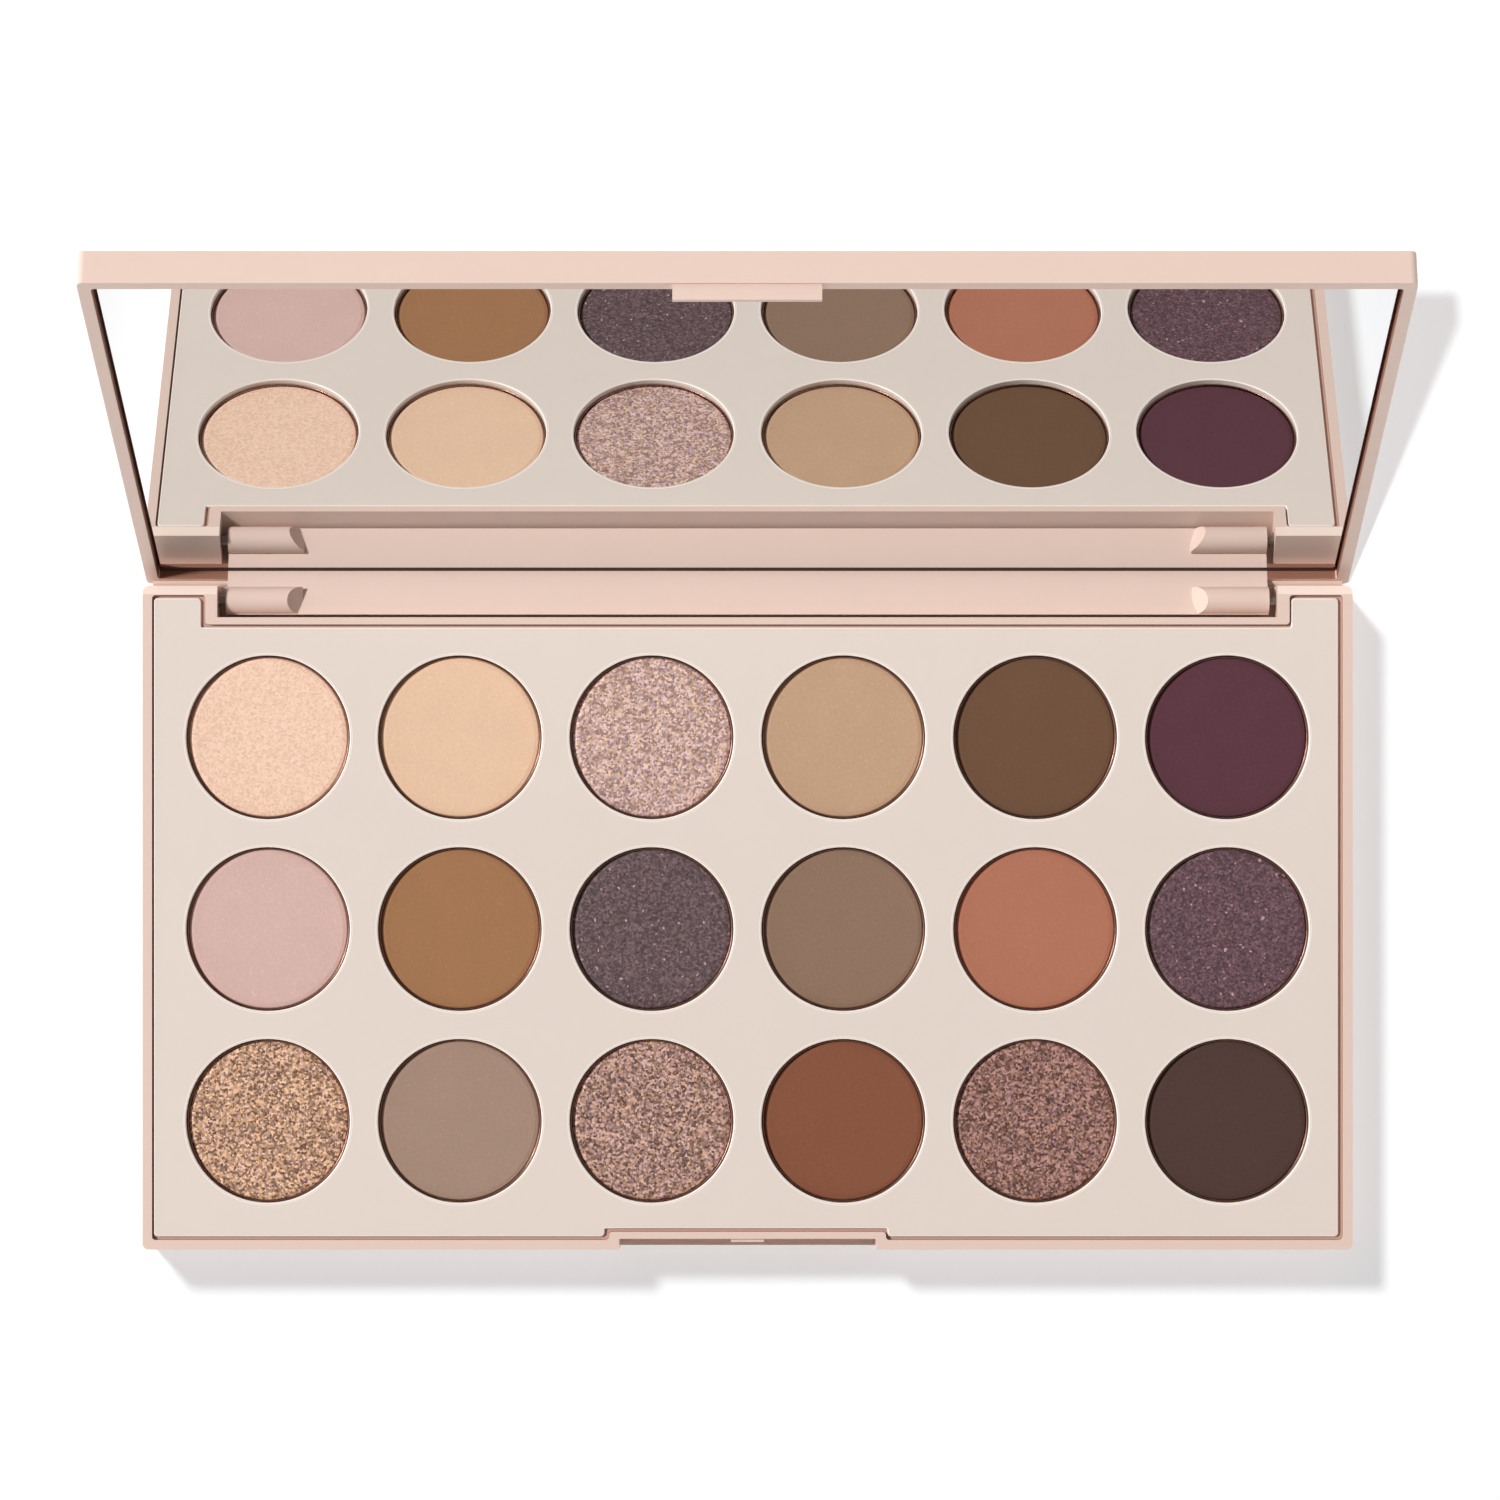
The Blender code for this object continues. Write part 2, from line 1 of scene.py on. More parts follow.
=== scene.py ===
"""The finished look of the eyeshadow palette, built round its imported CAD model.

Metres, +Z up, in the CAD model's own frame: the base lies on the floor at Z = 0, its hinge is at
the back (+Y) and the lid stands open. The shells, deck, pans, powders and mirror are fine meshes
that stand for their CAD nodes. The pins and the mirror's adhesive are the CAD nodes themselves, and
the strip of foam along the mirror's edge is an extra piece.
"""

import json
import math

import bmesh
import bpy
from mathutils import Matrix, Vector, noise


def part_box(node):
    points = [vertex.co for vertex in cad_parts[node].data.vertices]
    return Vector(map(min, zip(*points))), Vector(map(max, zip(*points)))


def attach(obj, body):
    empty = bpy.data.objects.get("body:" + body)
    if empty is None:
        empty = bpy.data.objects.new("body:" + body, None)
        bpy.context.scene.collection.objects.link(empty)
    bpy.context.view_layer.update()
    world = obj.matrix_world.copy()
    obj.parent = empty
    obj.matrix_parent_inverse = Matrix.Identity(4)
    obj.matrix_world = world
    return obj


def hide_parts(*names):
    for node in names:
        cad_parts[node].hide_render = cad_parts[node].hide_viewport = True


MM = 0.001
ROWS = 3
COLUMNS = 6

# Base shell
RIM_WALL = 1.4 * MM
FLOOR = 1.2 * MM
OUTER_CORNER = 0.9 * MM
INNER_CORNER = 0.5 * MM
LEDGE_WIDTH = 1.0 * MM
EDGE_ROUNDING = 0.16 * MM
# The back edge follows an arc about the hinge's axis, so that the lid's rim clears it as it turns
BACK_ARC_ANGLES = (math.radians(80), math.radians(48))
BACK_ARC_GAP = 0.1 * MM

# Deck
DECK_GAP = 0.45 * MM
DECK_SHIFT = Vector((-0.22, 0.02, 0.0)) * MM
FLANGE_GAP = 0.04 * MM
GROOVE_DEPTH = 0.5 * MM
DECK_THICKNESS = 1.2 * MM
DECK_ROUNDING = 0.18 * MM
SEAT_GAP = 0.1 * MM
WELL_RADIUS = 11.95 * MM
WELL_LIP = 0.2 * MM
# The lip's arc, from just past its top round to the well's wall
WELL_LIP_ANGLES = (math.radians(94), math.radians(180))
# The low bead round each lip: its height, its flat top's width and its slope's width, and how far
# that slope goes on below the deck's top
BEAD_HEIGHT = 0.07 * MM
BEAD_FLAT = 0.09 * MM
BEAD_WIDTH = 0.12 * MM
BEAD_SINK = BEAD_HEIGHT / 10
WELL_WALL = 0.9 * MM
WELL_FLOOR = 0.8 * MM

# Pans and powders
PAN_SHEET = 0.15 * MM
PAN_FOOT_RADIUS = 0.3 * MM
POWDER_SHOULDER = 0.35 * MM
# The low step that the die leaves: its height, its distance from the shoulder and its slope's width
PRESS_HEIGHT = 0.06 * MM
PRESS_MARGIN = 0.2 * MM
PRESS_SLOPE = 0.12 * MM
# How far the grain lies below the pressed surface, as a share of the grain's height
GRAIN_SINK = 0.5

# Hinge
RECESS_HALF_WIDTH = 77.4 * MM
RECESS_SIDE_WALL = 1.7 * MM
RECESS_FRONT = 2.53 * MM
RECESS_FRONT_WALL = 1.05 * MM
RECESS_FLOOR = 2.4 * MM
SKIRT_HALF_WIDTH = 76.3 * MM
KNUCKLE_RADIUS = 2.0 * MM
KNUCKLE_LENGTH = 11.1 * MM
KNUCKLE_SLANT = 2.1 * MM
BORE_RADIUS = 0.82 * MM

# Lid
LID_HEIGHT = 4.75 * MM
CLOSED_GAP = 0.2 * MM
LID_WALL = 1.75 * MM
MIRROR_RECESS = 1.2 * MM
MIRROR_THICKNESS = 1.5 * MM
MIRROR_SIDE_GAP = 0.45 * MM
MIRROR_BACK_GAP = 1.25 * MM
MIRROR_ROUNDING = 0.1 * MM
SEAL_GAP = 0.05 * MM
SEAL_BACK_GAP = SEAL_GAP / 5
ADHESIVE_THICKNESS = 0.25 * MM
LAYER_GAP = 0.1 * MM
# The curve of the stop pads that meets the base: (Y, Z) in millimetres about the closed lid's axis
STOP_PAD = ((2.1, 3.14), (1.75, 3.22), (1.4, 3.36), (1.2, 3.65))
STOP_PAD_ABOVE_RIM = 2 * EDGE_ROUNDING
STOP_PAD_OVERLAP = 0.1 * MM

# Finger notch and latch
NOTCH_HALF_WIDTH = 18.75 * MM
NOTCH_DEPTH = 1.58 * MM
NOTCH_SIDE_WALL = 1.45 * MM
NOTCH_BACK_WALL = 1.0 * MM
NIB_HALF_WIDTH = 2.4 * MM
NIB_DEPTH = 0.55 * MM
NIB_BELOW_RIM = 0.7 * MM
NIB_HEIGHT = 1.0 * MM
TAB_HALF_WIDTH = 9.85 * MM
TAB_HEIGHT = 2.3 * MM
TAB_SETBACK = 0.3 * MM
TAB_THICKNESS = 0.6 * MM

# Fineness of the meshes
CIRCLE_STEPS = 96
POWDER_RINGS = 40
CORNER_STEPS = 8
HINGE_ARC_STEPS = 12
WELL_LIP_STEPS = 5
PAN_LIP_STEPS = 8
SHOULDER_STEPS = 4
ROUNDING_STEPS = 3
MIRROR_ROUNDING_STEPS = 2
WELD_DISTANCE = 0.002 * MM
OVERSHOOT = 2.0 * MM

# Edges that are rounded, edges that stay sharp in the shading, and faces that count as level
SHARP_ANGLE = math.radians(30)
SHADED_SHARP_ANGLE = math.radians(50)
LEVEL_ANGLE = math.radians(1)
# How far upwards a face looks, as its normal's Z, and how narrow it is, where it belongs to a
# rounded edge that gets a painted highlight
HIGHLIGHT_TILT = (0.15, 0.985)
EDGE_WIDTH = 0.3 * MM
BROAD_FACE = 2 * EDGE_WIDTH
WALL_TOLERANCE = EDGE_WIDTH / 3

# Camera, straight above the palette
CAMERA_HEIGHT = 846.95 * MM
CAMERA_X = 0.36 * MM
CAMERA_Y = 24.45 * MM
CAMERA_LENS_MM = 137.8
CAMERA_SENSOR_MM = 36
CAMERA_CLIP = (0.05, 20)

# Stage and light. Levels are the part of full white that each light adds on a level surface
FLOOR_SIZE = 3.0
KEY_ANGLES = (164, 47)
KEY_DISTANCE = 6.0
KEY_SIZE = 0.69
KEY_LEVEL = 0.72
BASE_SHADOW_ANGLES = (130, 46)
BASE_SHADOW_SOFTNESS = math.radians(9)
LID_SHADOW_ANGLES = (186, 79.5)
LID_SHADOW_SOFTNESS = math.radians(1.5)
FLOOR_LIGHT_LEVEL = 0.41
FLOOR_LIGHT_COLOUR = (0.95, 1.0, 1.04)
HORIZON_BAND = (math.radians(15), math.radians(40))
HORIZON_LEVEL = 1.0
ZENITH_LEVEL = 0.13
ZENITH_COLOUR = (1.0, 0.82, 0.74, 1.0)

# The powders from left to right, with the row next to the hinge first: the record's slot, the
# screen colour (red, green, blue out of 255) and the finish
SHADES = (
    (
        ("peach_satin", (241, 205, 180), "satin"),
        ("pale_peach", (231, 196, 166), "matte"),
        ("rose_silver", (200, 168, 158), "pearl"),
        ("warm_tan", (194, 160, 131), "matte"),
        ("olive_brown", (110, 81, 61), "matte"),
        ("deep_plum", (92, 56, 66), "matte"),
    ),
    (
        ("dusty_pink", (214, 181, 173), "matte"),
        ("golden_brown", (162, 118, 83), "matte"),
        ("plum_grey", (105, 83, 86), "shimmer"),
        ("taupe", (143, 116, 97), "matte"),
        ("terracotta", (178, 117, 93), "matte"),
        ("mauve_plum", (106, 76, 84), "shimmer"),
    ),
    (
        ("gold_bronze", (180, 142, 117), "glitter"),
        ("mauve_taupe", (165, 138, 122), "matte"),
        ("rose_taupe", (162, 128, 116), "glitter"),
        ("rust_brown", (135, 85, 63), "matte"),
        ("mauve_brown", (142, 105, 96), "glitter"),
        ("dark_brown", (81, 60, 55), "matte"),
    ),
)
SHELL_COLOUR = (229, 204, 191)
# The lighter edge colours below are painted highlights on the rounded edges that look upwards
SHELL_HIGHLIGHT_COLOUR = (248, 228, 214)
# The pocket's darker colour is painted shade on the lid's inner walls
POCKET_SHADE_COLOUR = (146, 98, 80)
DECK_COLOUR = (228, 216, 206)
# Painted highlight for the deck's rounded edges that look upwards
DECK_HIGHLIGHT_COLOUR = (252, 243, 235)
# The groove's darker colour is painted shade
GROOVE_SHADE_COLOUR = (186, 152, 138)
PAN_COLOUR = (176, 132, 114)
PIN_COLOUR = (170, 164, 158)
MIRROR_COLOUR = (242, 243, 243)
FOAM_COLOUR = (80, 54, 44)
# The gold and the silver flakes of glitter and pearl, beside the powder's own colour
FLAKE_HUES = ((1.06, 1.02, 0.78), (0.92, 0.96, 1.2))
FLOOR_TONES = ((0.945, 0.945, 0.945, 1.0), (0.955, 0.955, 0.955, 1.0))

# The pieces made so far, by the floor light that they block
PIECES = {"base": [], "lid": []}

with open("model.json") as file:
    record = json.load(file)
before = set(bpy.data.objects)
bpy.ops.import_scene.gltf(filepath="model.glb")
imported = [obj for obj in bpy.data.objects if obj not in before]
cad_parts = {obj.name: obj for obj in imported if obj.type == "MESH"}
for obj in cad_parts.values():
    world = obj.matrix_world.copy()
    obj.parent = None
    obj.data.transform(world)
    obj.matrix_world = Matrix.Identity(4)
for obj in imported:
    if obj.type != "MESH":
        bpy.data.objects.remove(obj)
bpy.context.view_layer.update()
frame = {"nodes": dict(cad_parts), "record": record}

_, base_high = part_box("base_shell")
_, deck_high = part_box("pan_deck")
hinge_joint = frame["record"]["behaviour"]["joints"][0]
AXIS = Vector(hinge_joint["pos_m"])
OPEN_ANGLE = math.radians(hinge_joint["range_deg"][1])
HALF_WIDTH = base_high.x
HALF_DEPTH = base_high.y
BASE_HEIGHT = base_high.z
DECK_TOP = deck_high.z
DECK_UNDERSIDE = DECK_TOP - DECK_THICKNESS
AXIS_FROM_BACK = HALF_DEPTH - AXIS.y
AXIS_BELOW_RIM = BASE_HEIGHT - AXIS.z
LID_RIM = AXIS_BELOW_RIM + CLOSED_GAP
LID_TOP = LID_RIM + LID_HEIGHT
MIRROR_FACE = LID_RIM + MIRROR_RECESS
MIRROR_BACK = MIRROR_FACE + MIRROR_THICKNESS
LID_CEILING = MIRROR_BACK + ADHESIVE_THICKNESS + 2 * LAYER_GAP
LID_FRONT = AXIS_FROM_BACK - 2 * HALF_DEPTH
LID_BACK = AXIS_FROM_BACK
LID_BACK_INNER = LID_BACK - LID_WALL
LID_TURN = Matrix.Translation(AXIS) @ Matrix.Rotation(-OPEN_ANGLE, 4, "X")


# Shapes


def rounded(corners):
    """The closed outline through (x, y, radius) corners, with an arc at each corner."""
    outline = []
    for index, (x, y, radius) in enumerate(corners):
        corner = Vector((x, y))
        before = (Vector(corners[index - 1][:2]) - corner).normalized()
        after = (Vector(corners[(index + 1) % len(corners)][:2]) - corner).normalized()
        half_angle = before.angle(after) / 2
        centre = corner + (before + after).normalized() * (radius / math.sin(half_angle))
        run = radius / math.tan(half_angle)
        start = (corner + before * run - centre).normalized()
        end = (corner + after * run - centre).normalized()
        for step in range(CORNER_STEPS + 1):
            outline.append(centre + start.slerp(end, step / CORNER_STEPS) * radius)
    return outline


def rectangle(left, right, front, back, radius):
    """The outline of a rectangle with rounded corners."""
    corners = ((left, front), (right, front), (right, back), (left, back))
    return rounded([(x, y, radius) for x, y in corners])


def arc(centre, radius, first_angle, last_angle, steps):
    """Points round a centre, from one angle to another, in radians."""
    points = []
    for step in range(steps + 1):
        angle = first_angle + (last_angle - first_angle) * step / steps
        points.append((centre[0] + radius * math.cos(angle), centre[1] + radius * math.sin(angle)))
    return points


def link(name, mesh):
    obj = bpy.data.objects.new(name, mesh)
    bpy.context.scene.collection.objects.link(obj)
    return obj


def from_bmesh(name, work):
    mesh = bpy.data.meshes.new(name)
    work.to_mesh(mesh)
    work.free()
    return link(name, mesh)


def evaluated_mesh(obj):
    bpy.context.view_layer.update()
    evaluated = obj.evaluated_get(bpy.context.evaluated_depsgraph_get())
    return bpy.data.meshes.new_from_object(evaluated)


def tidy(mesh):
    """Welds a mesh and joins its level triangles into whole faces."""
    work = bmesh.new()
    work.from_mesh(mesh)
    bmesh.ops.remove_doubles(work, verts=work.verts, dist=WELD_DISTANCE)
    bmesh.ops.dissolve_limit(work, angle_limit=LEVEL_ANGLE, verts=work.verts, edges=work.edges)
    bmesh.ops.recalc_face_normals(work, faces=work.faces)
    work.to_mesh(mesh)
    work.free()


def slab(name, outline, bottom, top, rounding=0.0):
    """A flat solid of this outline from a filled 2D curve, with its edges rounded."""
    curve = bpy.data.curves.new(name, "CURVE")
    curve.dimensions = "2D"
    curve.fill_mode = "BOTH"
    curve.extrude = (top - bottom) / 2 - rounding
    curve.bevel_depth = rounding
    curve.bevel_resolution = ROUNDING_STEPS
    spline = curve.splines.new("POLY")
    spline.points.add(len(outline) - 1)
    for point, place in zip(spline.points, outline):
        point.co = (place[0], place[1], 0, 1)
    spline.use_cyclic_u = True
    guide = link(name, curve)
    mesh = evaluated_mesh(guide)
    bpy.data.objects.remove(guide, do_unlink=True)
    mesh.transform(Matrix.Translation((0, 0, (bottom + top) / 2)))
    tidy(mesh)
    return link(name, mesh)


def across(name, outline, left, right):
    """A solid with this outline in the YZ plane, from one X to another."""
    obj = slab(name, outline, left, right)
    obj.data.transform(Matrix(((0, 0, 1, 0), (1, 0, 0, 0), (0, 1, 0, 0), (0, 0, 0, 1))))
    return obj


def box(name, low, high):
    size = [top - bottom for bottom, top in zip(low, high)]
    middle = [(top + bottom) / 2 for bottom, top in zip(low, high)]
    place = Matrix.Translation(middle) @ Matrix.Diagonal((*size, 1))
    work = bmesh.new()
    bmesh.ops.create_cube(work, size=1, matrix=place)
    return from_bmesh(name, work)


def rod(name, radius, left, right):
    """A cylinder along X, about the X axis."""
    work = bmesh.new()
    place = Matrix.Translation(((left + right) / 2, 0, 0)) @ Matrix.Rotation(math.pi / 2, 4, "Y")
    bmesh.ops.create_cone(
        work,
        cap_ends=True,
        segments=CIRCLE_STEPS // 2,
        radius1=radius,
        radius2=radius,
        depth=right - left,
        matrix=place,
    )
    return from_bmesh(name, work)


def lathe(work, profile, centre):
    """Adds a turned solid to a bmesh: (radius, height) points from its top centre to its bottom
    centre, round the vertical line through centre."""
    rings = []
    for radius, height in profile:
        if radius == 0:
            rings.append([work.verts.new((centre[0], centre[1], height))])
            continue
        ring = []
        for step in range(CIRCLE_STEPS):
            angle = 2 * math.pi * step / CIRCLE_STEPS
            x = centre[0] + radius * math.cos(angle)
            y = centre[1] + radius * math.sin(angle)
            ring.append(work.verts.new((x, y, height)))
        rings.append(ring)
    for upper, lower in zip(rings, rings[1:]):
        for step in range(CIRCLE_STEPS):
            after = (step + 1) % CIRCLE_STEPS
            if len(upper) == 1:
                work.faces.new((upper[0], lower[step], lower[after]))
            elif len(lower) == 1:
                work.faces.new((upper[step], lower[0], upper[after]))
            else:
                work.faces.new((upper[step], lower[step], lower[after], upper[after]))


def combine(target, steps):
    """Applies Boolean steps of (tool, operation) to the target and removes the tools."""
    for tool, operation in steps:
        modifier = target.modifiers.new(tool.name, "BOOLEAN")
        modifier.operation = operation
        modifier.object = tool
        modifier.solver = "EXACT"
    mesh = evaluated_mesh(target)
    target.modifiers.clear()
    target.data = mesh
    for tool, _ in steps:
        bpy.data.objects.remove(tool, do_unlink=True)
    tidy(target.data)


def round_edges(obj, width, segments=ROUNDING_STEPS):
    """Rounds every sharp edge of a solid by a little, as a moulding's edges are."""
    work = bmesh.new()
    work.from_mesh(obj.data)
    sharp = [edge for edge in work.edges if edge.calc_face_angle(0) > SHARP_ANGLE]
    bmesh.ops.bevel(
        work,
        geom=sharp,
        offset=width,
        offset_type="OFFSET",
        segments=segments,
        profile=0.5,
        affect="EDGES",
        clamp_overlap=True,
    )
    work.to_mesh(obj.data)
    work.free()


def smooth(obj):
    """Shades a piece smooth, with its flat faces kept flat."""
    obj.data.shade_smooth()
    obj.data.set_sharp_from_angle(angle=SHADED_SHARP_ANGLE)
    weighted = obj.modifiers.new("flat_faces", "WEIGHTED_NORMAL")
    weighted.keep_sharp = True


# Materials


def linear(colour):
    """A screen colour out of 255 as the linear colour that a shader takes."""
    channels = []
    for channel in colour:
        value = channel / 255
        value = value / 12.92 if value <= 0.04045 else ((value + 0.055) / 1.055) ** 2.4
        channels.append(value)
    return (*channels, 1.0)


class Surface:
    """A Principled material and short calls for the nodes that feed it."""

    def __init__(self, name, roughness, metallic=0.0):
        self.material = bpy.data.materials.new(name)
        self.material.use_nodes = True
        self.tree = self.material.node_tree
        self.shader = self.tree.nodes["Principled BSDF"]
        self.shader.inputs["Roughness"].default_value = roughness
        self.shader.inputs["Metallic"].default_value = metallic
        self.place = self.tree.nodes.new("ShaderNodeTexCoord").outputs["Object"]

    def noise(self, size, detail=3.0, roughness=0.55):
        """Noise whose blotches are about size metres across."""
        node = self.tree.nodes.new("ShaderNodeTexNoise")
        node.inputs["Scale"].default_value = 1 / size
        node.inputs["Detail"].default_value = detail
        node.inputs["Roughness"].default_value = roughness
        self.tree.links.new(self.place, node.inputs["Vector"])
        return node.outputs["Fac"]

    def cells(self, size, channel):
        """A random value for each grain of about size metres."""
        node = self.tree.nodes.new("ShaderNodeTexVoronoi")
        node.inputs["Scale"].default_value = 1 / size
        self.tree.links.new(self.place, node.inputs["Vector"])
        split = self.tree.nodes.new("ShaderNodeSeparateColor")
        self.tree.links.new(node.outputs["Color"], split.inputs["Color"])
        return split.outputs[channel]

    def spread(self, value, low, high, from_low=0.0, from_high=1.0):
        node = self.tree.nodes.new("ShaderNodeMapRange")
        node.inputs["From Min"].default_value = from_low
        node.inputs["From Max"].default_value = from_high
        node.inputs["To Min"].default_value = low
        node.inputs["To Max"].default_value = high
        self.tree.links.new(value, node.inputs["Value"])
        return node.outputs["Result"]

    def tint(self, colour, factor):
        """This colour times a factor that varies over the surface."""
        node = self.tree.nodes.new("ShaderNodeVectorMath")
        node.operation = "SCALE"
        node.inputs["Vector"].default_value = colour[:3]
        self.tree.links.new(factor, node.inputs["Scale"])
        return node.outputs["Vector"]

    def math(self, operation, first, second):
        node = self.tree.nodes.new("ShaderNodeMath")
        node.operation = operation
        for socket, value in zip(node.inputs, (first, second)):
            if isinstance(value, (int, float)):
                socket.default_value = value
            else:
                self.tree.links.new(value, socket)
        return node.outputs["Value"]

    def mix(self, amount, first, second):
        node = self.tree.nodes.new("ShaderNodeMix")
        node.data_type = "RGBA"
        self.tree.links.new(amount, node.inputs["Factor"])
        colours = [entry for entry in node.inputs if entry.type == "RGBA"]
        for socket, value in zip(colours, (first, second)):
            if isinstance(value, tuple):
                socket.default_value = value
            else:
                self.tree.links.new(value, socket)
        return [entry for entry in node.outputs if entry.type == "RGBA"][0]

    def ramp(self, value, stops):
        """A colour ramp of (position, colour) stops."""
        node = self.tree.nodes.new("ShaderNodeValToRGB")
        elements = node.color_ramp.elements
        while len(elements) < len(stops):
            elements.new(0.5)
        for element, (position, colour) in zip(elements, stops):
            element.position = position
            element.color = colour
        self.tree.links.new(value, node.inputs["Fac"])
        return node.outputs["Color"]

    def set(self, name, value):
        socket = self.shader.inputs[name]
        if isinstance(value, (int, float, tuple)):
            socket.default_value = value
        else:
            self.tree.links.new(value, socket)

    def bump(self, height, depth, strength=1.0):
        """Relief of this depth in metres, from a height of 0 to 1."""
        node = self.tree.nodes.new("ShaderNodeBump")
        node.inputs["Strength"].default_value = strength
        node.inputs["Distance"].default_value = depth
        self.tree.links.new(height, node.inputs["Height"])
        self.tree.links.new(node.outputs["Normal"], self.shader.inputs["Normal"])


def shade(colour, factor, hue=(1.0, 1.0, 1.0)):
    """A linear colour made lighter or darker, and turned towards a hue."""
    return (*[min(value * factor * part, 1.0) for value, part in zip(colour, hue)], 1.0)


def plastic(name, colour, roughness):
    """Satin moulded plastic: faint mottling, uneven polish and a fine moulded grain."""
    surface = Surface(name, roughness)
    tone = linear(colour)
    mottling = surface.noise(6 * MM)
    surface.set("Base Color", surface.mix(mottling, shade(tone, 0.985), shade(tone, 1.015)))
    polish = surface.noise(2.5 * MM)
    surface.set("Roughness", surface.spread(polish, roughness - 0.05, roughness + 0.05))
    surface.bump(surface.noise(0.12 * MM, detail=2.0), depth=0.002 * MM)
    return surface.material


def finish(obj, body, material, slot, *nodes):
    """Gives a piece its material and its body, and hides the CAD nodes that it stands for. The slot
    argument is not used.
    """
    if not obj.data.materials:
        obj.data.materials.append(material)
    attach(obj, body)
    PIECES[body].append(obj)
    if nodes:
        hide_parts(*nodes)


def narrowest(mesh, polygon):
    """About how wide a face is across its longest edge."""
    places = [mesh.vertices[index].co for index in polygon.vertices]
    longest = max((a - b).length for a, b in zip(places, places[1:] + places[:1]))
    return polygon.area / max(longest, WELD_DISTANCE)


def paint_edge_highlights(obj, material, highlight_material):
    """Paints highlights on the rounded edges that look upwards: they get their own material,
    lighter as a painted highlight and a little glossier.
    """
    obj.data.materials.clear()
    obj.data.materials.append(material)
    obj.data.materials.append(highlight_material)
    for polygon in obj.data.polygons:
        tilted = HIGHLIGHT_TILT[0] < polygon.normal.z < HIGHLIGHT_TILT[1]
        polygon.material_index = int(tilted and narrowest(obj.data, polygon) < EDGE_WIDTH)


def matte_powder(name, colour):
    """Matte pressed powder: fine grains over soft blotches, dry and velvety."""
    surface = Surface(name, roughness=0.95)
    tone = linear(colour)
    soft = surface.noise(5 * MM, detail=4.0)
    blotches = surface.spread(soft, 0.985, 1.015, from_low=0.35, from_high=0.65)
    fine = surface.noise(0.4 * MM, detail=3.0)
    grains = surface.spread(fine, 0.95, 1.05, from_low=0.3, from_high=0.7)
    specks = surface.spread(surface.cells(0.28 * MM, "Red"), 1.0, 1.12, from_low=0.97)
    shading = surface.math("MULTIPLY", surface.math("MULTIPLY", blotches, grains), specks)
    surface.set("Base Color", surface.tint(tone, shading))
    surface.set("Specular IOR Level", 0.2)
    surface.bump(surface.noise(0.25 * MM, detail=3.0), depth=0.015 * MM, strength=0.5)
    return surface.material


def satin_powder(name, colour):
    """Fine pearl in pressed powder: small soft glints, painted into the colour, on an even ground.
    """
    surface = Surface(name, roughness=0.6)
    tone = linear(colour)
    grain = surface.math("ADD", surface.cells(0.3 * MM, "Red"), surface.noise(0.35 * MM))
    stops = (
        (0.2, shade(tone, 0.86, hue=(1.0, 0.95, 0.92))),
        (0.5, tone),
        (0.8, shade(tone, 1.1, hue=(1.0, 1.02, 1.05))),
    )
    ground = surface.ramp(surface.spread(grain, 0.0, 1.0, from_high=2.0), stops)
    surface.set("Base Color", ground)
    surface.bump(surface.noise(0.3 * MM, detail=2.0), depth=0.02 * MM, strength=0.5)
    return surface.material


def flaked_powder(name, colour, darkest, brightest):
    """Coarse metallic flakes of two hues pressed together, with the glints of the flakes that face
    the light and the shade of those turned away painted into the colour: darkest and brightest are
    the tones of that painted shade and those painted glints, beside the powder's own."""
    surface = Surface(name, roughness=0.5)
    tone = linear(colour)
    flakes = surface.cells(0.32 * MM, "Red")
    clumps = surface.noise(0.38 * MM, detail=4.0, roughness=0.7)
    # The flakes' brightness is painted light: their glints and shade go into the colour
    turned = surface.math("ADD", flakes, clumps)
    light = surface.spread(turned, 0.0, 1.0, from_low=0.3, from_high=1.45)
    hues = []
    for hue in FLAKE_HUES:
        flake = shade(tone, 1.0, hue)
        stops = (
            (0.0, shade(flake, darkest, hue=(1.0, 0.8, 0.72))),
            (0.35, shade(flake, (darkest + 0.85) / 2, hue=(1.0, 0.92, 0.88))),
            (0.55, shade(flake, 0.92)),
            (0.8, shade(flake, (brightest + 0.9) / 2)),
            (1.0, shade(flake, brightest, hue=(1.0, 1.06, 1.1))),
        )
        hues.append(surface.ramp(light, stops))
    surface.set("Base Color", surface.mix(surface.cells(0.36 * MM, "Blue"), *hues))
    surface.set("Metallic", surface.spread(surface.cells(0.3 * MM, "Green"), 0.0, 0.3))
    surface.bump(light, depth=0.02 * MM, strength=0.4)
    return surface.material


def glitter_powder(name, colour):
    return flaked_powder(name, colour, darkest=0.16, brightest=2.2)


def pearl_powder(name, colour):
    return flaked_powder(name, colour, darkest=0.45, brightest=1.6)


def shimmer_powder(name, colour):
    """Dark powder with a fine sheen and a few bright sparkles, both painted into its colour."""
    surface = Surface(name, roughness=0.6)
    tone = linear(colour)
    grain = surface.math("ADD", surface.cells(0.3 * MM, "Red"), surface.noise(0.4 * MM))
    stops = (
        (0.15, shade(tone, 0.25)),
        (0.5, shade(tone, 0.78)),
        (0.75, shade(tone, 1.4)),
        (0.85, shade(tone, 2.4)),
    )
    ground = surface.ramp(surface.spread(grain, 0.0, 1.0, from_high=2.0), stops)
    # Painted sparkles: specks of colour far brighter than the powder
    sparkles = surface.spread(surface.cells(0.36 * MM, "Blue"), 0.0, 0.8, from_low=0.985)
    sparkle = shade(tone, 5.0, hue=(1.0, 1.1, 1.1))
    surface.set("Base Color", surface.mix(sparkles, ground, sparkle))
    surface.bump(surface.noise(0.3 * MM, detail=2.0), depth=0.02 * MM, strength=0.5)
    return surface.material


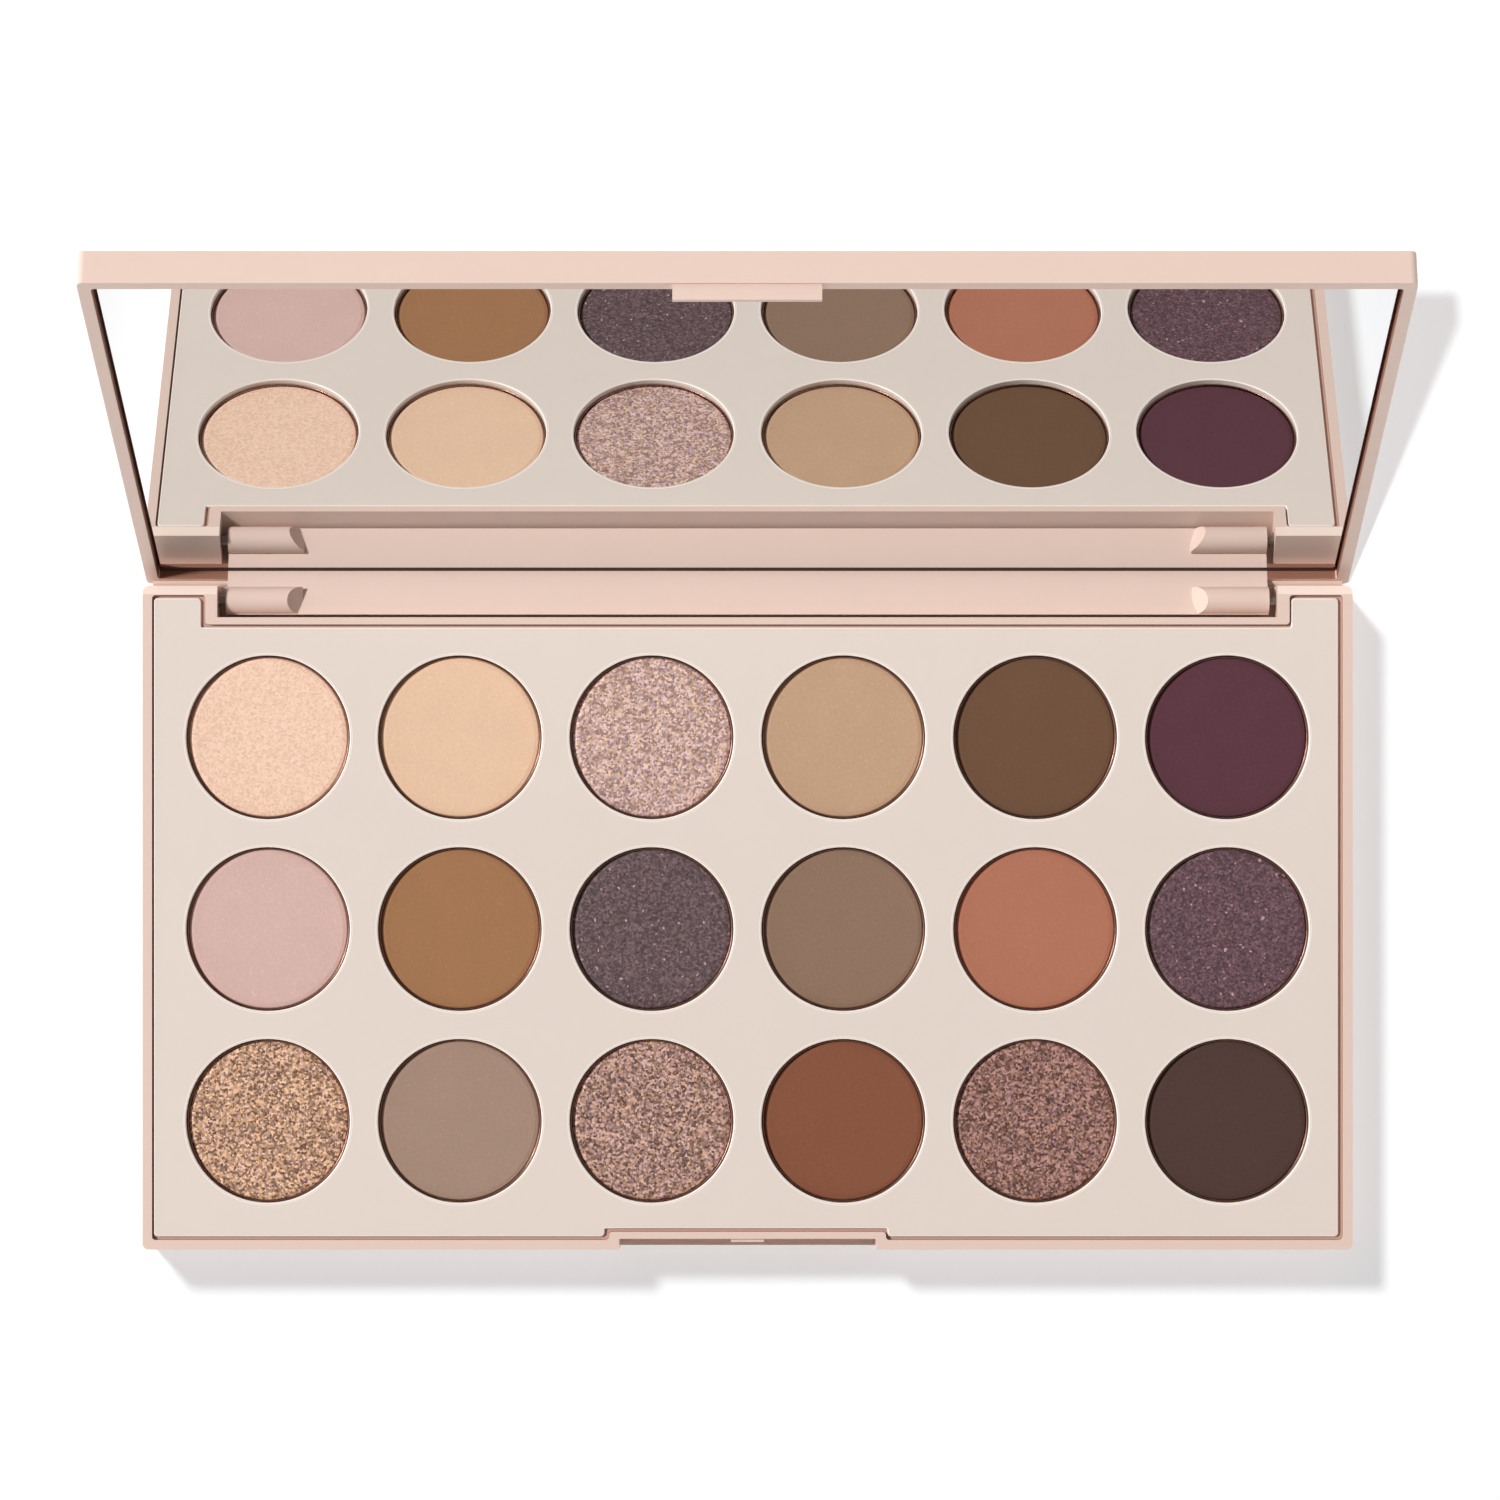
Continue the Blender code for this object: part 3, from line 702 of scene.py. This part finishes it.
POWDER_FINISHES = {
    "matte": matte_powder,
    "satin": satin_powder,
    "pearl": pearl_powder,
    "glitter": glitter_powder,
    "shimmer": shimmer_powder,
}
# How rough each finish's pressed surface is, as the height and the width of its grain
POWDER_RELIEF = {
    "matte": (0.02 * MM, 4.0 * MM),
    "satin": (0.02 * MM, 2.0 * MM),
    "pearl": (0.04 * MM, 0.8 * MM),
    "glitter": (0.05 * MM, 0.8 * MM),
    "shimmer": (0.03 * MM, 1.0 * MM),
}


def pan_metal():
    """Bright drawn metal, a little uneven in tone and polish."""
    surface = Surface("pan_metal", roughness=0.28, metallic=1.0)
    tone = linear(PAN_COLOUR)
    surface.set("Base Color", surface.mix(surface.noise(1.5 * MM), shade(tone, 0.85), tone))
    surface.set("Roughness", surface.spread(surface.noise(0.6 * MM), 0.2, 0.36))
    surface.bump(surface.noise(0.1 * MM), depth=0.003 * MM)
    return surface.material


def pin_steel():
    surface = Surface("pin_steel", roughness=0.3, metallic=1.0)
    tone = linear(PIN_COLOUR)
    surface.set("Base Color", surface.mix(surface.noise(0.8 * MM), shade(tone, 0.8), tone))
    surface.set("Roughness", surface.spread(surface.noise(0.5 * MM), 0.25, 0.4))
    return surface.material


def mirror_silver():
    """A silvered mirror, with the faintest unevenness in its polish."""
    surface = Surface("mirror_silver", roughness=0.0, metallic=1.0)
    tone = linear(MIRROR_COLOUR)
    surface.set("Base Color", surface.mix(surface.noise(40 * MM), shade(tone, 0.99), tone))
    surface.set("Roughness", surface.spread(surface.noise(30 * MM), 0.0, 0.004))
    return surface.material


def adhesive_foam():
    surface = Surface("adhesive_foam", roughness=0.9)
    tone = linear(FOAM_COLOUR)
    surface.set("Base Color", surface.mix(surface.noise(0.8 * MM), shade(tone, 0.7), tone))
    surface.bump(surface.noise(0.3 * MM), depth=0.05 * MM)
    return surface.material


# Pieces


def deck_outline(gap, corner):
    """The deck's plan, set in by gap from the walls that hold it."""
    side = HALF_WIDTH - RIM_WALL - gap
    front = -HALF_DEPTH + RIM_WALL + gap
    back = HALF_DEPTH - RIM_WALL - gap
    notch_side = NOTCH_HALF_WIDTH + NOTCH_SIDE_WALL + gap
    notch_front = -HALF_DEPTH + NOTCH_DEPTH + NOTCH_BACK_WALL + gap
    recess_side = RECESS_HALF_WIDTH + RECESS_SIDE_WALL + gap
    recess_back = AXIS.y - RECESS_FRONT - RECESS_FRONT_WALL - gap
    right_half = [
        (notch_side, notch_front, corner),
        (notch_side, front, corner),
        (side, front, corner),
        (side, back, corner),
        (recess_side, back, corner),
        (recess_side, recess_back, corner),
    ]
    left_half = [(-x, y, radius) for x, y, radius in reversed(right_half)]
    return rounded(right_half + left_half)


def make_base_shell(material, highlight_material):
    """The tray with the deck's pocket and ledge, the hinge recess, the notch and the nib."""
    outline = rectangle(-HALF_WIDTH, HALF_WIDTH, -HALF_DEPTH, HALF_DEPTH, OUTER_CORNER)
    shell = slab("base_shell_moulding", outline, 0, BASE_HEIGHT)
    above = BASE_HEIGHT + OVERSHOOT
    ledge = DECK_UNDERSIDE - SEAT_GAP
    wall = -HALF_DEPTH + NOTCH_DEPTH
    nib_top = BASE_HEIGHT - NIB_BELOW_RIM
    nib = [
        (wall + NOTCH_BACK_WALL / 2, nib_top),
        (wall + NOTCH_BACK_WALL / 2, nib_top - NIB_HEIGHT),
        (wall, nib_top - NIB_HEIGHT),
        (wall - NIB_DEPTH, nib_top - NIB_HEIGHT * 2 / 3),
        (wall - NIB_DEPTH, nib_top - NIB_HEIGHT / 3),
        (wall, nib_top),
    ]
    back_arc = arc((0, 0), LID_RIM - BACK_ARC_GAP, *BACK_ARC_ANGLES, HINGE_ARC_STEPS)
    far = LID_RIM + OVERSHOOT
    back_edge = across(
        "back_edge",
        [*back_arc, (far, back_arc[-1][1]), (far, far), (back_arc[0][0], far)],
        -HALF_WIDTH - OVERSHOOT,
        HALF_WIDTH + OVERSHOOT,
    )
    back_edge.data.transform(Matrix.Translation((0, AXIS.y, AXIS.z)))
    recess_low = (-RECESS_HALF_WIDTH, AXIS.y - RECESS_FRONT, RECESS_FLOOR)
    recess_high = (RECESS_HALF_WIDTH, HALF_DEPTH + OVERSHOOT, above)
    notch_low = (-NOTCH_HALF_WIDTH, -HALF_DEPTH - OVERSHOOT, FLOOR)
    notch_high = (NOTCH_HALF_WIDTH, wall, above)
    steps = [
        (slab("deck_pocket", deck_outline(0, INNER_CORNER), ledge, above), "DIFFERENCE"),
        (slab("well_space", deck_outline(LEDGE_WIDTH, INNER_CORNER), FLOOR, above), "DIFFERENCE"),
        (box("hinge_recess", recess_low, recess_high), "DIFFERENCE"),
        (box("finger_notch", notch_low, notch_high), "DIFFERENCE"),
        (back_edge, "DIFFERENCE"),
        (across("latch_nib", nib, -NIB_HALF_WIDTH, NIB_HALF_WIDTH), "UNION"),
    ]
    combine(shell, steps)
    round_edges(shell, EDGE_ROUNDING)
    bores = []
    for side in (-1, 1):
        inner = side * (RECESS_HALF_WIDTH - OVERSHOOT / 2)
        left, right = sorted((inner, side * (HALF_WIDTH + OVERSHOOT)))
        bore = rod("pin_bore", BORE_RADIUS, left, right)
        bore.data.transform(Matrix.Translation((0, AXIS.y, AXIS.z)))
        bores.append((bore, "DIFFERENCE"))
    combine(shell, bores)
    smooth(shell)
    paint_edge_highlights(shell, material, highlight_material)
    finish(shell, "base", material, "blush_plastic", "base_shell")


def pan_places():
    """(row, column, centre) of every pan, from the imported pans."""
    places = []
    for row in range(1, ROWS + 1):
        for column in range(1, COLUMNS + 1):
            low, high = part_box(f"pan_r{row}c{column}")
            places.append((row, column, (low + high) / 2))
    return places


def paint_groove_shade(deck, groove_shade_material):
    """Paints shade on the floor of the groove round the deck, as its own darker colour."""
    deck.data.materials.append(groove_shade_material)
    floor = DECK_TOP - GROOVE_DEPTH
    for polygon in deck.data.polygons:
        if abs(polygon.center.z - floor) < WELD_DISTANCE and polygon.normal.z > 0:
            polygon.material_index = len(deck.data.materials) - 1


def make_deck(material, highlight_material, groove_shade_material):
    """The insert: a plate with a rounded rim, and a cup with a rounded lip at every pan."""
    outline = deck_outline(DECK_GAP + DECK_ROUNDING, INNER_CORNER - DECK_ROUNDING / 2)
    deck = slab("pan_deck_moulding", outline, DECK_UNDERSIDE, DECK_TOP, DECK_ROUNDING)
    deck.data.transform(Matrix.Translation(DECK_SHIFT))
    flange_outline = deck_outline(FLANGE_GAP, INNER_CORNER)
    flange = slab("deck_flange", flange_outline, DECK_UNDERSIDE, DECK_TOP - GROOVE_DEPTH)
    pan_low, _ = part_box("pan_r1c1")
    well_bottom = pan_low.z - SEAT_GAP
    cup_radius = WELL_RADIUS + WELL_WALL
    middle = DECK_UNDERSIDE + DECK_THICKNESS / 2
    bead_top = DECK_TOP + BEAD_HEIGHT
    bead_radius = WELL_RADIUS + WELL_LIP + BEAD_FLAT
    cup = [
        (0, bead_top),
        (bead_radius, bead_top),
        (bead_radius + BEAD_WIDTH, DECK_TOP - BEAD_SINK),
        (cup_radius, middle),
        (cup_radius, well_bottom - WELL_FLOOR),
        (0, well_bottom - WELL_FLOOR),
    ]
    lip_centre = (WELL_RADIUS + WELL_LIP, bead_top - WELL_LIP)
    lip = arc(lip_centre, WELL_LIP, *WELL_LIP_ANGLES, WELL_LIP_STEPS)
    above = DECK_TOP + OVERSHOOT
    bore = [(0, above), (lip[0][0], above), *lip, (WELL_RADIUS, well_bottom), (0, well_bottom)]
    cups = bmesh.new()
    bores = bmesh.new()
    for _, _, centre in pan_places():
        lathe(cups, cup, centre)
        lathe(bores, bore, centre)
    steps = [
        (flange, "UNION"),
        (from_bmesh("cups", cups), "UNION"),
        (from_bmesh("bores", bores), "DIFFERENCE"),
    ]
    combine(deck, steps)
    smooth(deck)
    paint_edge_highlights(deck, material, highlight_material)
    paint_groove_shade(deck, groove_shade_material)
    finish(deck, "base", material, "cream_plastic", "pan_deck")


def make_pans(material):
    """Drawn pans with a rounded lip and foot."""
    for row, column, centre in pan_places():
        node = f"pan_r{row}c{column}"
        low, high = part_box(node)
        radius = (high.x - low.x) / 2
        inner = radius - PAN_SHEET
        lip_radius = PAN_SHEET / 2
        lip_centre = (radius - lip_radius, high.z - lip_radius)
        lip = arc(lip_centre, lip_radius, math.pi, 0, PAN_LIP_STEPS)
        floor = low.z + PAN_SHEET
        foot_centre = (radius - PAN_FOOT_RADIUS, low.z + PAN_FOOT_RADIUS)
        foot = arc(foot_centre, PAN_FOOT_RADIUS, 0, -math.pi / 2, SHOULDER_STEPS)
        profile = [(0, floor), (inner, floor), *lip, *foot, (0, low.z)]
        work = bmesh.new()
        lathe(work, profile, centre)
        pan = from_bmesh(f"{node}_drawn", work)
        smooth(pan)
        finish(pan, "base", material, "pan_metal", node)


def make_powders():
    """The pressed powders, each with the die's low step, a soft shoulder and its own grain."""
    for row, column, centre in pan_places():
        node = f"powder_r{row}c{column}"
        slot, colour, surface = SHADES[row - 1][column - 1]
        low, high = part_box(node)
        radius = (high.x - low.x) / 2
        shoulder_centre = (radius - POWDER_SHOULDER, high.z - POWDER_SHOULDER)
        shoulder = arc(shoulder_centre, POWDER_SHOULDER, math.pi / 2, 0, SHOULDER_STEPS)
        flat = radius - POWDER_SHOULDER - PRESS_MARGIN
        pressed = high.z + PRESS_HEIGHT
        top = [(flat * ring / POWDER_RINGS, pressed) for ring in range(POWDER_RINGS + 1)]
        profile = [*top, (flat + PRESS_SLOPE, high.z), *shoulder, (radius, low.z), (0, low.z)]
        work = bmesh.new()
        lathe(work, profile, centre)
        height, width = POWDER_RELIEF[surface]
        for vert in work.verts:
            if vert.co.z > high.z - POWDER_SHOULDER / 2:
                spot = Vector((vert.co.x, vert.co.y, row * COLUMNS + column)) / width
                vert.co.z += height * (noise.noise(spot) - GRAIN_SINK)
        powder = from_bmesh(f"{node}_pressed", work)
        powder.data.shade_smooth()
        finish(powder, "base", POWDER_FINISHES[surface](slot, colour), slot, node)


def stop_pad(side):
    """The pad at one end of the lid's back edge that meets the base when the lid is open."""
    foot = LID_RIM + STOP_PAD_ABOVE_RIM
    curve = [(y * MM, z * MM) for y, z in STOP_PAD]
    outline = [(LID_BACK, foot), *curve, (curve[-1][0], foot)]
    inner = side * (SKIRT_HALF_WIDTH - STOP_PAD_OVERLAP)
    outer = side * (HALF_WIDTH - OUTER_CORNER)
    return across("stop_pad", outline, *sorted((inner, outer)))


def on_back_wall(place):
    """Whether a point lies on the inside of the lid's back wall, in the closed lid's place."""
    return abs(place.y - LID_BACK_INNER) < WALL_TOLERANCE


def paint_pocket_shade(shell, material, pocket_shade_material):
    """Paints shade on the pocket's side walls, and on its back wall past the skirt, as their own
    darker colour.
    """
    work = bmesh.new()
    work.from_mesh(shell.data)
    for cut in (-SKIRT_HALF_WIDTH, SKIRT_HALF_WIDTH):
        wall = [face for face in work.faces if on_back_wall(face.calc_center_median())]
        edges = {edge for face in wall for edge in face.edges}
        verts = {vert for face in wall for vert in face.verts}
        bmesh.ops.bisect_plane(
            work,
            geom=[*wall, *edges, *verts],
            plane_co=(cut, 0, 0),
            plane_no=(1, 0, 0),
        )
    work.to_mesh(shell.data)
    work.free()
    shell.data.materials.clear()
    shell.data.materials.append(material)
    shell.data.materials.append(pocket_shade_material)
    side = HALF_WIDTH - LID_WALL
    for polygon in shell.data.polygons:
        place = polygon.center
        at_side = abs(abs(place.x) - side) < WALL_TOLERANCE
        at_back = on_back_wall(place) and abs(place.x) > SKIRT_HALF_WIDTH
        in_pocket = LID_RIM < place.z < LID_CEILING
        polygon.material_index = int(in_pocket and (at_side or at_back))


def flatten(shell):
    """Shades the broad faces flat, which keeps long thin neighbours from bending their light."""
    for polygon in shell.data.polygons:
        if narrowest(shell.data, polygon) > BROAD_FACE:
            polygon.use_smooth = False


def make_lid_shell(material, pocket_shade_material):
    """The lid's tray with its hinge skirt, knuckles and latch tab, turned to its open stop."""
    outline = rectangle(-HALF_WIDTH, HALF_WIDTH, LID_FRONT, LID_BACK, OUTER_CORNER)
    shell = slab("lid_shell_moulding", outline, LID_RIM, LID_TOP)
    side = HALF_WIDTH - LID_WALL
    pocket_outline = rectangle(-side, side, LID_FRONT + LID_WALL, LID_BACK_INNER, INNER_CORNER)
    skirt_top = LID_RIM + LID_HEIGHT / 4
    skirt = [
        *arc((0, 0), LID_BACK, 0, -math.acos(LID_BACK_INNER / LID_BACK), HINGE_ARC_STEPS),
        (LID_BACK_INNER, skirt_top),
        (LID_BACK, skirt_top),
    ]
    tab_low = (-TAB_HALF_WIDTH, LID_FRONT + TAB_SETBACK, LID_RIM - TAB_HEIGHT)
    tab_high = (TAB_HALF_WIDTH, LID_FRONT + TAB_SETBACK + TAB_THICKNESS, skirt_top)
    steps = [
        (slab("mirror_pocket", pocket_outline, LID_RIM - OVERSHOOT, LID_CEILING), "DIFFERENCE"),
        (across("skirt", skirt, -SKIRT_HALF_WIDTH, SKIRT_HALF_WIDTH), "UNION"),
        (make_knuckle(-1), "UNION"),
        (make_knuckle(1), "UNION"),
        (box("latch_tab", tab_low, tab_high), "UNION"),
        (stop_pad(-1), "UNION"),
        (stop_pad(1), "UNION"),
    ]
    combine(shell, steps)
    round_edges(shell, EDGE_ROUNDING)
    bores = []
    for direction in (-1, 1):
        inner = SKIRT_HALF_WIDTH - KNUCKLE_LENGTH + KNUCKLE_SLANT
        ends = sorted((direction * inner, direction * (SKIRT_HALF_WIDTH + OVERSHOOT)))
        bores.append((rod("knuckle_bore", BORE_RADIUS, *ends), "DIFFERENCE"))
    combine(shell, bores)
    paint_pocket_shade(shell, material, pocket_shade_material)
    shell.data.transform(LID_TURN)
    smooth(shell)
    flatten(shell)
    finish(shell, "lid", material, "blush_plastic", "lid_shell")


def make_knuckle(side):
    """The barrel at one end of the skirt. Its inner end is cut at a slant, which takes the most
    off the top of the barrel while the lid is open."""
    outer = side * SKIRT_HALF_WIDTH
    inner = side * (SKIRT_HALF_WIDTH - KNUCKLE_LENGTH)
    knuckle = rod("knuckle", KNUCKLE_RADIUS, *sorted((outer, inner)))
    work = bmesh.new()
    work.from_mesh(knuckle.data)
    upward = Vector((0, -math.sin(OPEN_ANGLE), math.cos(OPEN_ANGLE)))
    along = Vector((-side * (LID_BACK_INNER + KNUCKLE_RADIUS), 0, 0))
    cut = bmesh.ops.bisect_plane(
        work,
        geom=[*work.verts, *work.edges, *work.faces],
        plane_co=Vector((inner, 0, 0)) - upward * LID_BACK_INNER,
        plane_no=along + upward * KNUCKLE_SLANT,
        clear_outer=True,
    )
    rim = [part for part in cut["geom_cut"] if isinstance(part, bmesh.types.BMEdge)]
    bmesh.ops.holes_fill(work, edges=rim)
    bmesh.ops.recalc_face_normals(work, faces=work.faces)
    work.to_mesh(knuckle.data)
    work.free()
    return knuckle


def make_mirror(material):
    """The mirror's plate, with a wider gap along the hinge for the seal."""
    side = HALF_WIDTH - LID_WALL - MIRROR_SIDE_GAP
    front = LID_FRONT + LID_WALL + MIRROR_SIDE_GAP
    back = LID_BACK_INNER - MIRROR_BACK_GAP
    outline = rectangle(-side, side, front, back, INNER_CORNER)
    mirror = slab("mirror_plate", outline, MIRROR_FACE, MIRROR_BACK)
    round_edges(mirror, MIRROR_ROUNDING, MIRROR_ROUNDING_STEPS)
    mirror.data.transform(LID_TURN)
    smooth(mirror)
    finish(mirror, "lid", material, "mirror", "mirror_glass")


def make_mirror_seal(material):
    """A dark strip, in the adhesive's foam, filling the gap between the mirror's edge and the lid's
    back wall, which makes that gap a dark line.
    """
    side = HALF_WIDTH - LID_WALL - MIRROR_SIDE_GAP
    low = (-side, LID_BACK_INNER - MIRROR_BACK_GAP + SEAL_GAP, MIRROR_FACE + SEAL_GAP)
    high = (side, LID_BACK_INNER - SEAL_BACK_GAP, MIRROR_BACK)
    seal = box("mirror_seal", low, high)
    seal.data.transform(LID_TURN)
    finish(seal, "lid", material, "adhesive")


def dress_cad_nodes(foam):
    """Gives the CAD nodes that stay better materials, and lets them block the lid's light."""
    steel = pin_steel()
    finishes = (("hinge_pin_left", steel), ("hinge_pin_right", steel), ("mirror_adhesive", foam))
    for node, material in finishes:
        for slot in frame["nodes"][node].material_slots:
            slot.material = material
        PIECES["lid"].append(frame["nodes"][node])


# Stage


def make_floor():
    """A plain pale floor."""
    work = bmesh.new()
    bmesh.ops.create_grid(work, x_segments=1, y_segments=1, size=FLOOR_SIZE / 2)
    floor = from_bmesh("floor", work)
    surface = Surface("floor_paper", roughness=0.9)
    surface.set("Base Color", surface.mix(surface.noise(size=0.5), *FLOOR_TONES))
    surface.set("Specular IOR Level", 0.1)
    floor.data.materials.append(surface.material)
    return floor


def toward(azimuth, elevation):
    """The direction at this azimuth, from +X towards +Y, and elevation, both in degrees."""
    turn = math.radians(azimuth)
    rise = math.radians(elevation)
    level = math.cos(rise)
    return Vector((level * math.cos(turn), level * math.sin(turn), math.sin(rise)))


def aim(lamp, direction):
    lamp.rotation_mode = "QUATERNION"
    lamp.rotation_quaternion = direction.to_track_quat("Z", "Y")


def only(name, objects, state):
    """A light-linking collection that includes or excludes these objects."""
    group = bpy.data.collections.new(name)
    for obj in objects:
        group.objects.link(obj)
    for entry in group.collection_objects:
        entry.light_linking.link_state = state
    return group


def key_light(floor):
    """A round softbox up on the left, for the palette only."""
    direction = toward(*KEY_ANGLES)
    light = bpy.data.lights.new("key", "AREA")
    light.shape = "DISK"
    light.size = KEY_SIZE
    # An area light's irradiance is its power over pi times the square of its distance
    light.energy = KEY_LEVEL / direction.z * math.pi * KEY_DISTANCE**2 * math.pi
    # Rays that leave the mirror don't pick the lamp up, which would only speckle the hinge
    light.cycles.use_multiple_importance_sampling = False
    lamp = link("key", light)
    lamp.location = direction * KEY_DISTANCE
    aim(lamp, direction)
    lamp.light_linking.receiver_collection = only("key_receivers", [floor], "EXCLUDE")


def floor_light(name, direction, angle, floor, blockers):
    """A soft sun for the floor only, which only these pieces block."""
    light = bpy.data.lights.new(name, "SUN")
    light.angle = angle
    light.color = FLOOR_LIGHT_COLOUR
    light.energy = FLOOR_LIGHT_LEVEL * math.pi / direction.z
    lamp = link(name, light)
    lamp.location = direction
    aim(lamp, direction)
    lamp.light_linking.receiver_collection = only(f"{name}_receivers", [floor], "INCLUDE")
    lamp.light_linking.blocker_collection = only(f"{name}_blockers", blockers, "INCLUDE")


def make_world():
    """Dim and warm from above and bright round the horizon, so that hollows stay dark."""
    world = bpy.data.worlds.new("studio")
    bpy.context.scene.world = world
    world.use_nodes = True
    tree = world.node_tree
    place = tree.nodes.new("ShaderNodeTexCoord")
    split = tree.nodes.new("ShaderNodeSeparateXYZ")
    rise = tree.nodes.new("ShaderNodeMapRange")
    rise.interpolation_type = "SMOOTHSTEP"
    rise.inputs["From Min"].default_value = math.sin(HORIZON_BAND[0])
    rise.inputs["From Max"].default_value = math.sin(HORIZON_BAND[1])
    level = tree.nodes.new("ShaderNodeMapRange")
    level.inputs["To Min"].default_value = HORIZON_LEVEL
    level.inputs["To Max"].default_value = ZENITH_LEVEL
    tree.links.new(place.outputs["Generated"], split.inputs["Vector"])
    tree.links.new(split.outputs["Z"], rise.inputs["Value"])
    tree.links.new(rise.outputs["Result"], level.inputs["Value"])
    tree.links.new(level.outputs["Result"], tree.nodes["Background"].inputs["Strength"])
    blend = tree.nodes.new("ShaderNodeMix")
    blend.data_type = "RGBA"
    blend.inputs["A"].default_value = (1.0, 1.0, 1.0, 1.0)
    blend.inputs["B"].default_value = ZENITH_COLOUR
    tree.links.new(rise.outputs["Result"], blend.inputs["Factor"])
    tree.links.new(blend.outputs["Result"], tree.nodes["Background"].inputs["Color"])


def make_lights(floor):
    make_world()
    key_light(floor)
    # The base's shadow falls to the lower right by about the base's height. The lid's falls to
    # the right from nearly overhead, by up to twice as much at the lid's far edge
    base_direction = toward(*BASE_SHADOW_ANGLES)
    lid_direction = toward(*LID_SHADOW_ANGLES)
    floor_light("base_shadow", base_direction, BASE_SHADOW_SOFTNESS, floor, PIECES["base"])
    floor_light("lid_shadow", lid_direction, LID_SHADOW_SOFTNESS, floor, PIECES["lid"])


def make_camera():
    camera = bpy.data.cameras.new("camera")
    camera.lens = CAMERA_LENS_MM
    camera.sensor_width = CAMERA_SENSOR_MM
    camera.clip_start, camera.clip_end = CAMERA_CLIP
    eye = link("camera", camera)
    eye.location = (CAMERA_X, CAMERA_Y, CAMERA_HEIGHT)
    bpy.context.scene.camera = eye


make_camera()
blush = plastic("blush_plastic", SHELL_COLOUR, roughness=0.42)
# The edge material's lighter colour is a painted highlight
blush_edge_highlight = plastic("blush_edge_highlight", SHELL_HIGHLIGHT_COLOUR, roughness=0.35)
make_base_shell(blush, blush_edge_highlight)
cream = plastic("cream_plastic", DECK_COLOUR, roughness=0.45)
# The edge material's lighter colour is a painted highlight
cream_edge_highlight = plastic("cream_edge_highlight", DECK_HIGHLIGHT_COLOUR, roughness=0.35)
# The groove floor's darker colour is painted shade
cream_groove_shade = plastic("cream_groove_shade", GROOVE_SHADE_COLOUR, roughness=0.5)
make_deck(cream, cream_edge_highlight, cream_groove_shade)
make_pans(pan_metal())
make_powders()
# The pocket material's darker colour is painted shade
blush_pocket_shade = plastic("blush_pocket_shade", POCKET_SHADE_COLOUR, roughness=0.5)
make_lid_shell(blush, blush_pocket_shade)
make_mirror(mirror_silver())
foam = adhesive_foam()
make_mirror_seal(foam)
dress_cad_nodes(foam)
make_lights(make_floor())
bpy.context.scene.view_settings.view_transform = "Standard"
